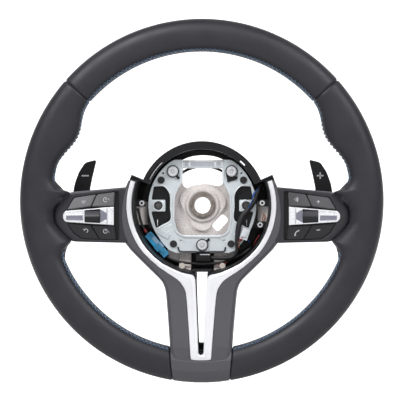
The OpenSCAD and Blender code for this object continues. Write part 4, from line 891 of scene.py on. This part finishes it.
LOOMS = {
    "right_loom": ([[61.6, 21.6, 16.4], [59.3, 17.4, 18], [56.5, 11, 19.6], [54.1, 4.1, 20], [47, -5, 20.6],
                    [41.4, -11.7, 20.8], [38.2, -20, 21], [36.8, -27.5, 20.8], [35.9, -38.1, 20],
                    [35.8, -47, 18.6],
                    [31, -53.2, 18], [22, -54.6, 17.6], [14, -54.6, 14.6], [8.9, -54.6, 13]], 2.0),
    "bottom_loom": ([[-36.4, -52.5, 15.4], [-34.4, -54.6, 15], [-28, -57.2, 14.4], [-21, -58.9, 14.2],
                     [-12, -60, 14.4], [0, -60.4, 14.4], [12, -60, 14.4], [21, -58.9, 14.2], [30, -56, 13.6],
                     [42, -50.2, 13.2], [50, -43.9, 12.6]], 1.3),
    "left_loom": ([[-66.5, -3.2, 20.2], [-65.4, -8, 19.2], [-63.4, -17, 17.2], [-60.4, -24.4, 15.7],
                   [-58.5, -27, 15.6], [-56.5, -29.3, 15.6]], 1.4),
}


def taped(name, route, r, thicker=0.0, mat=None):
    """A cable wound with tape: its thickness steps a little with each turn."""
    pts = [at(*p) for p in spline(route, 10)]
    n = len(pts) - 1
    rows = []
    for k, row in enumerate(tube_rows(pts, 1.0, 16)):
        f = k / n
        q = r * (1 + 0.05 * ((k * 0.37) % 1.0)) + thicker * hill(f, 0.42, 0.3)
        rows.append([pts[k] + (v - pts[k]) * q / 1000 for v in row])
    verts = [v for row in rows for v in row]
    faces = grid(rows) + [tuple(range(16))[::-1], tuple(n * 16 + j for j in range(16))]
    return build(name, verts, faces, mat or MATS["cable_black"])


def looms():
    for name, (route, r) in LOOMS.items():
        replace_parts(taped(name + "_taped", route, r, 1.0 if name == "right_loom" else 0.0), name)


looms()


WIRES = [
    ("wire_blue_side", BLUE, 0.5,
     [[(58.6, 17.8, 19.6), (55, 14, 21.2), (52.8, 10, 22), (51.6, 5, 22.6), (47.6, -3.2, 23.4)]]),
    ("tape_blue", BLUE, 1.15, [[(54, 12.9, 21.5), (53, 10.6, 21.9), (52.4, 8.6, 22.1)]]),
    ("wires_red", RED, 0.45,
     [[(59.4, -30.4, 14), (57.2, -33.4, 15), (55, -37, 15), (53.6, -40.6, 14)],
      [(16, -60.4, 16), (19, -61.8, 16.4), (22, -60.8, 16.2), (25.6, -58.8, 15.4)]]),
    ("sleeves_red", RED, 1.5,
     [[(-60.1, -24.9, 15.8), (-58.9, -26.5, 15.8), (-57.9, -27.7, 15.8)],
      [(41.2, -33.4, 20.4), (40, -35, 20.6), (38.6, -36.4, 20.4)]]),
    ("wires_blue", BLUE, 0.7, [[(43.4, -34.2, 19.6), (45, -35.4, 19), (47, -36, 17.6), (49, -38.4, 15.4)]]),
    ("wires_copper", COPPER, 0.5,
     [[(36.8, -37.6, 22.6), (38.2, -39.8, 21), (37.6, -42.4, 20.8), (39, -44.4, 19)],
      [(62.6, -8.4, 13), (63.4, -11, 13.6), (62.2, -14, 13.6), (63, -16.8, 13)],
      [(64.2, -9.4, 13), (64.8, -12.4, 13.4), (64, -15.6, 13)]]),
]


def small_wires():
    for name, mat, r, lines in WIRES:
        tubes(name, [[at(*q) for q in spline(line, 5)] for line in lines], r / 1000, mat, sides=8)


small_wires()


def block(points, h0, h1):
    n = len(points)
    verts = [at(x, y, h1) for x, y in points] + [at(x, y, h0) for x, y in points]
    faces = [tuple(range(n)), tuple(range(2 * n - 1, n - 1, -1))]
    return verts, faces + [(j, n + j, n + (j + 1) % n, (j + 1) % n) for j in range(n)]


def turned(x, y):
    """A point of the blue connector, along it and across it."""
    a = math.radians(-49)
    return -46.85 + x * math.cos(a) - y * math.sin(a), -40.4 + x * math.sin(a) + y * math.cos(a)


def connector_details():
    # A lighter half and a greyer half on the blue connector, and a ledge on its foot
    for name, mat, x0, x1, y0, y1, h0, h1 in (
            ("connector_light_half", BLUE_LIGHT, -7.4, -0.2, -3.9, -0.5, 18.2, 19.3),
            ("connector_grey_half", BLUE_GREY, -8.2, -0.2, -0.2, 3.9, 18.2, 19.5),
            ("connector_foot_ledge", BLUE_GREY, 0.4, 6.2, 2.2, 4.4, 18.6, 20.2)):
        v, f = block([turned(x0, y0), turned(x1, y0), turned(x1, y1), turned(x0, y1)], h0, h1)
        build(name, v, f, mat, smooth=False)
    v, f = block([(-2.2, -50.4), (8.0, -50.4), (8.0, -51.3), (-2.2, -51.3)], 17.6, 18.2)
    build("plug_label_bar", v, f, PRINT, smooth=False)


connector_details()


# Floor, light

def floor():
    """A pale floor that curves up into a backdrop far behind."""
    level, back, bend = -0.24, 2.6, 0.8
    prof = [(-3.4, level), (back, level)]
    for i in range(1, 13):
        a = math.pi / 2 * i / 12
        prof.append((back + bend * math.sin(a), level + bend * (1 - math.cos(a))))
    prof.append((back + bend, 4.0))
    rows = [[Vector((-4.0, y, z)), Vector((4.0, y, z))] for y, z in prof]
    m = Mat("floor", Roughness=0.85)
    m.colour(m.mix(m.range(m.noise(3, 4), 0.3, 0.7, 0.0, 1.0), (0.66, 0.66, 0.665), (0.69, 0.69, 0.69)))
    # The backdrop behind the object is lit from within, the floor in front of it isn't
    behind = m.node("SeparateXYZ", {"Vector": m.co}).outputs[1]
    m.nt.links.new(m.range(behind, 0.02, 0.36, 0.0, 0.95), m.p.inputs["Emission Strength"])
    m.p.inputs["Emission Color"].default_value = (1, 1, 1, 1)
    me = bpy.data.meshes.new("floor")
    me.from_pydata([tuple(v) for r in rows for v in r], [], grid(rows, closed_across=False))
    for p in me.polygons:
        p.use_smooth = True
    me.materials.append(m.m)
    o = bpy.data.objects.new("floor", me)
    bpy.context.collection.objects.link(o)


def area(name, loc, target, size, power):
    d = bpy.data.lights.new(name, "AREA")
    d.shape, d.size, d.energy = "SQUARE", size, power
    o = bpy.data.objects.new(name, d)
    o.location = loc
    o.rotation_mode = "QUATERNION"
    o.rotation_quaternion = (Vector(target) - Vector(loc)).to_track_quat("-Z", "Y")
    bpy.context.collection.objects.link(o)


def lights():
    w = bpy.data.worlds.new("studio")
    w.use_nodes = True
    w.node_tree.nodes["Background"].inputs[0].default_value = (0.97, 0.98, 1, 1)
    w.node_tree.nodes["Background"].inputs[1].default_value = 0.3
    bpy.context.scene.world = w
    area("key", (-0.75, -1.15, 1.2), (0, 0, 0), 0.7, 20)
    area("second", (0.95, -1.1, 1.0), (0, 0, 0), 0.7, 12)
    area("fill", (0.1, -1.7, 0.15), (0, 0, 0), 0.9, 1.2)


floor()
lights()
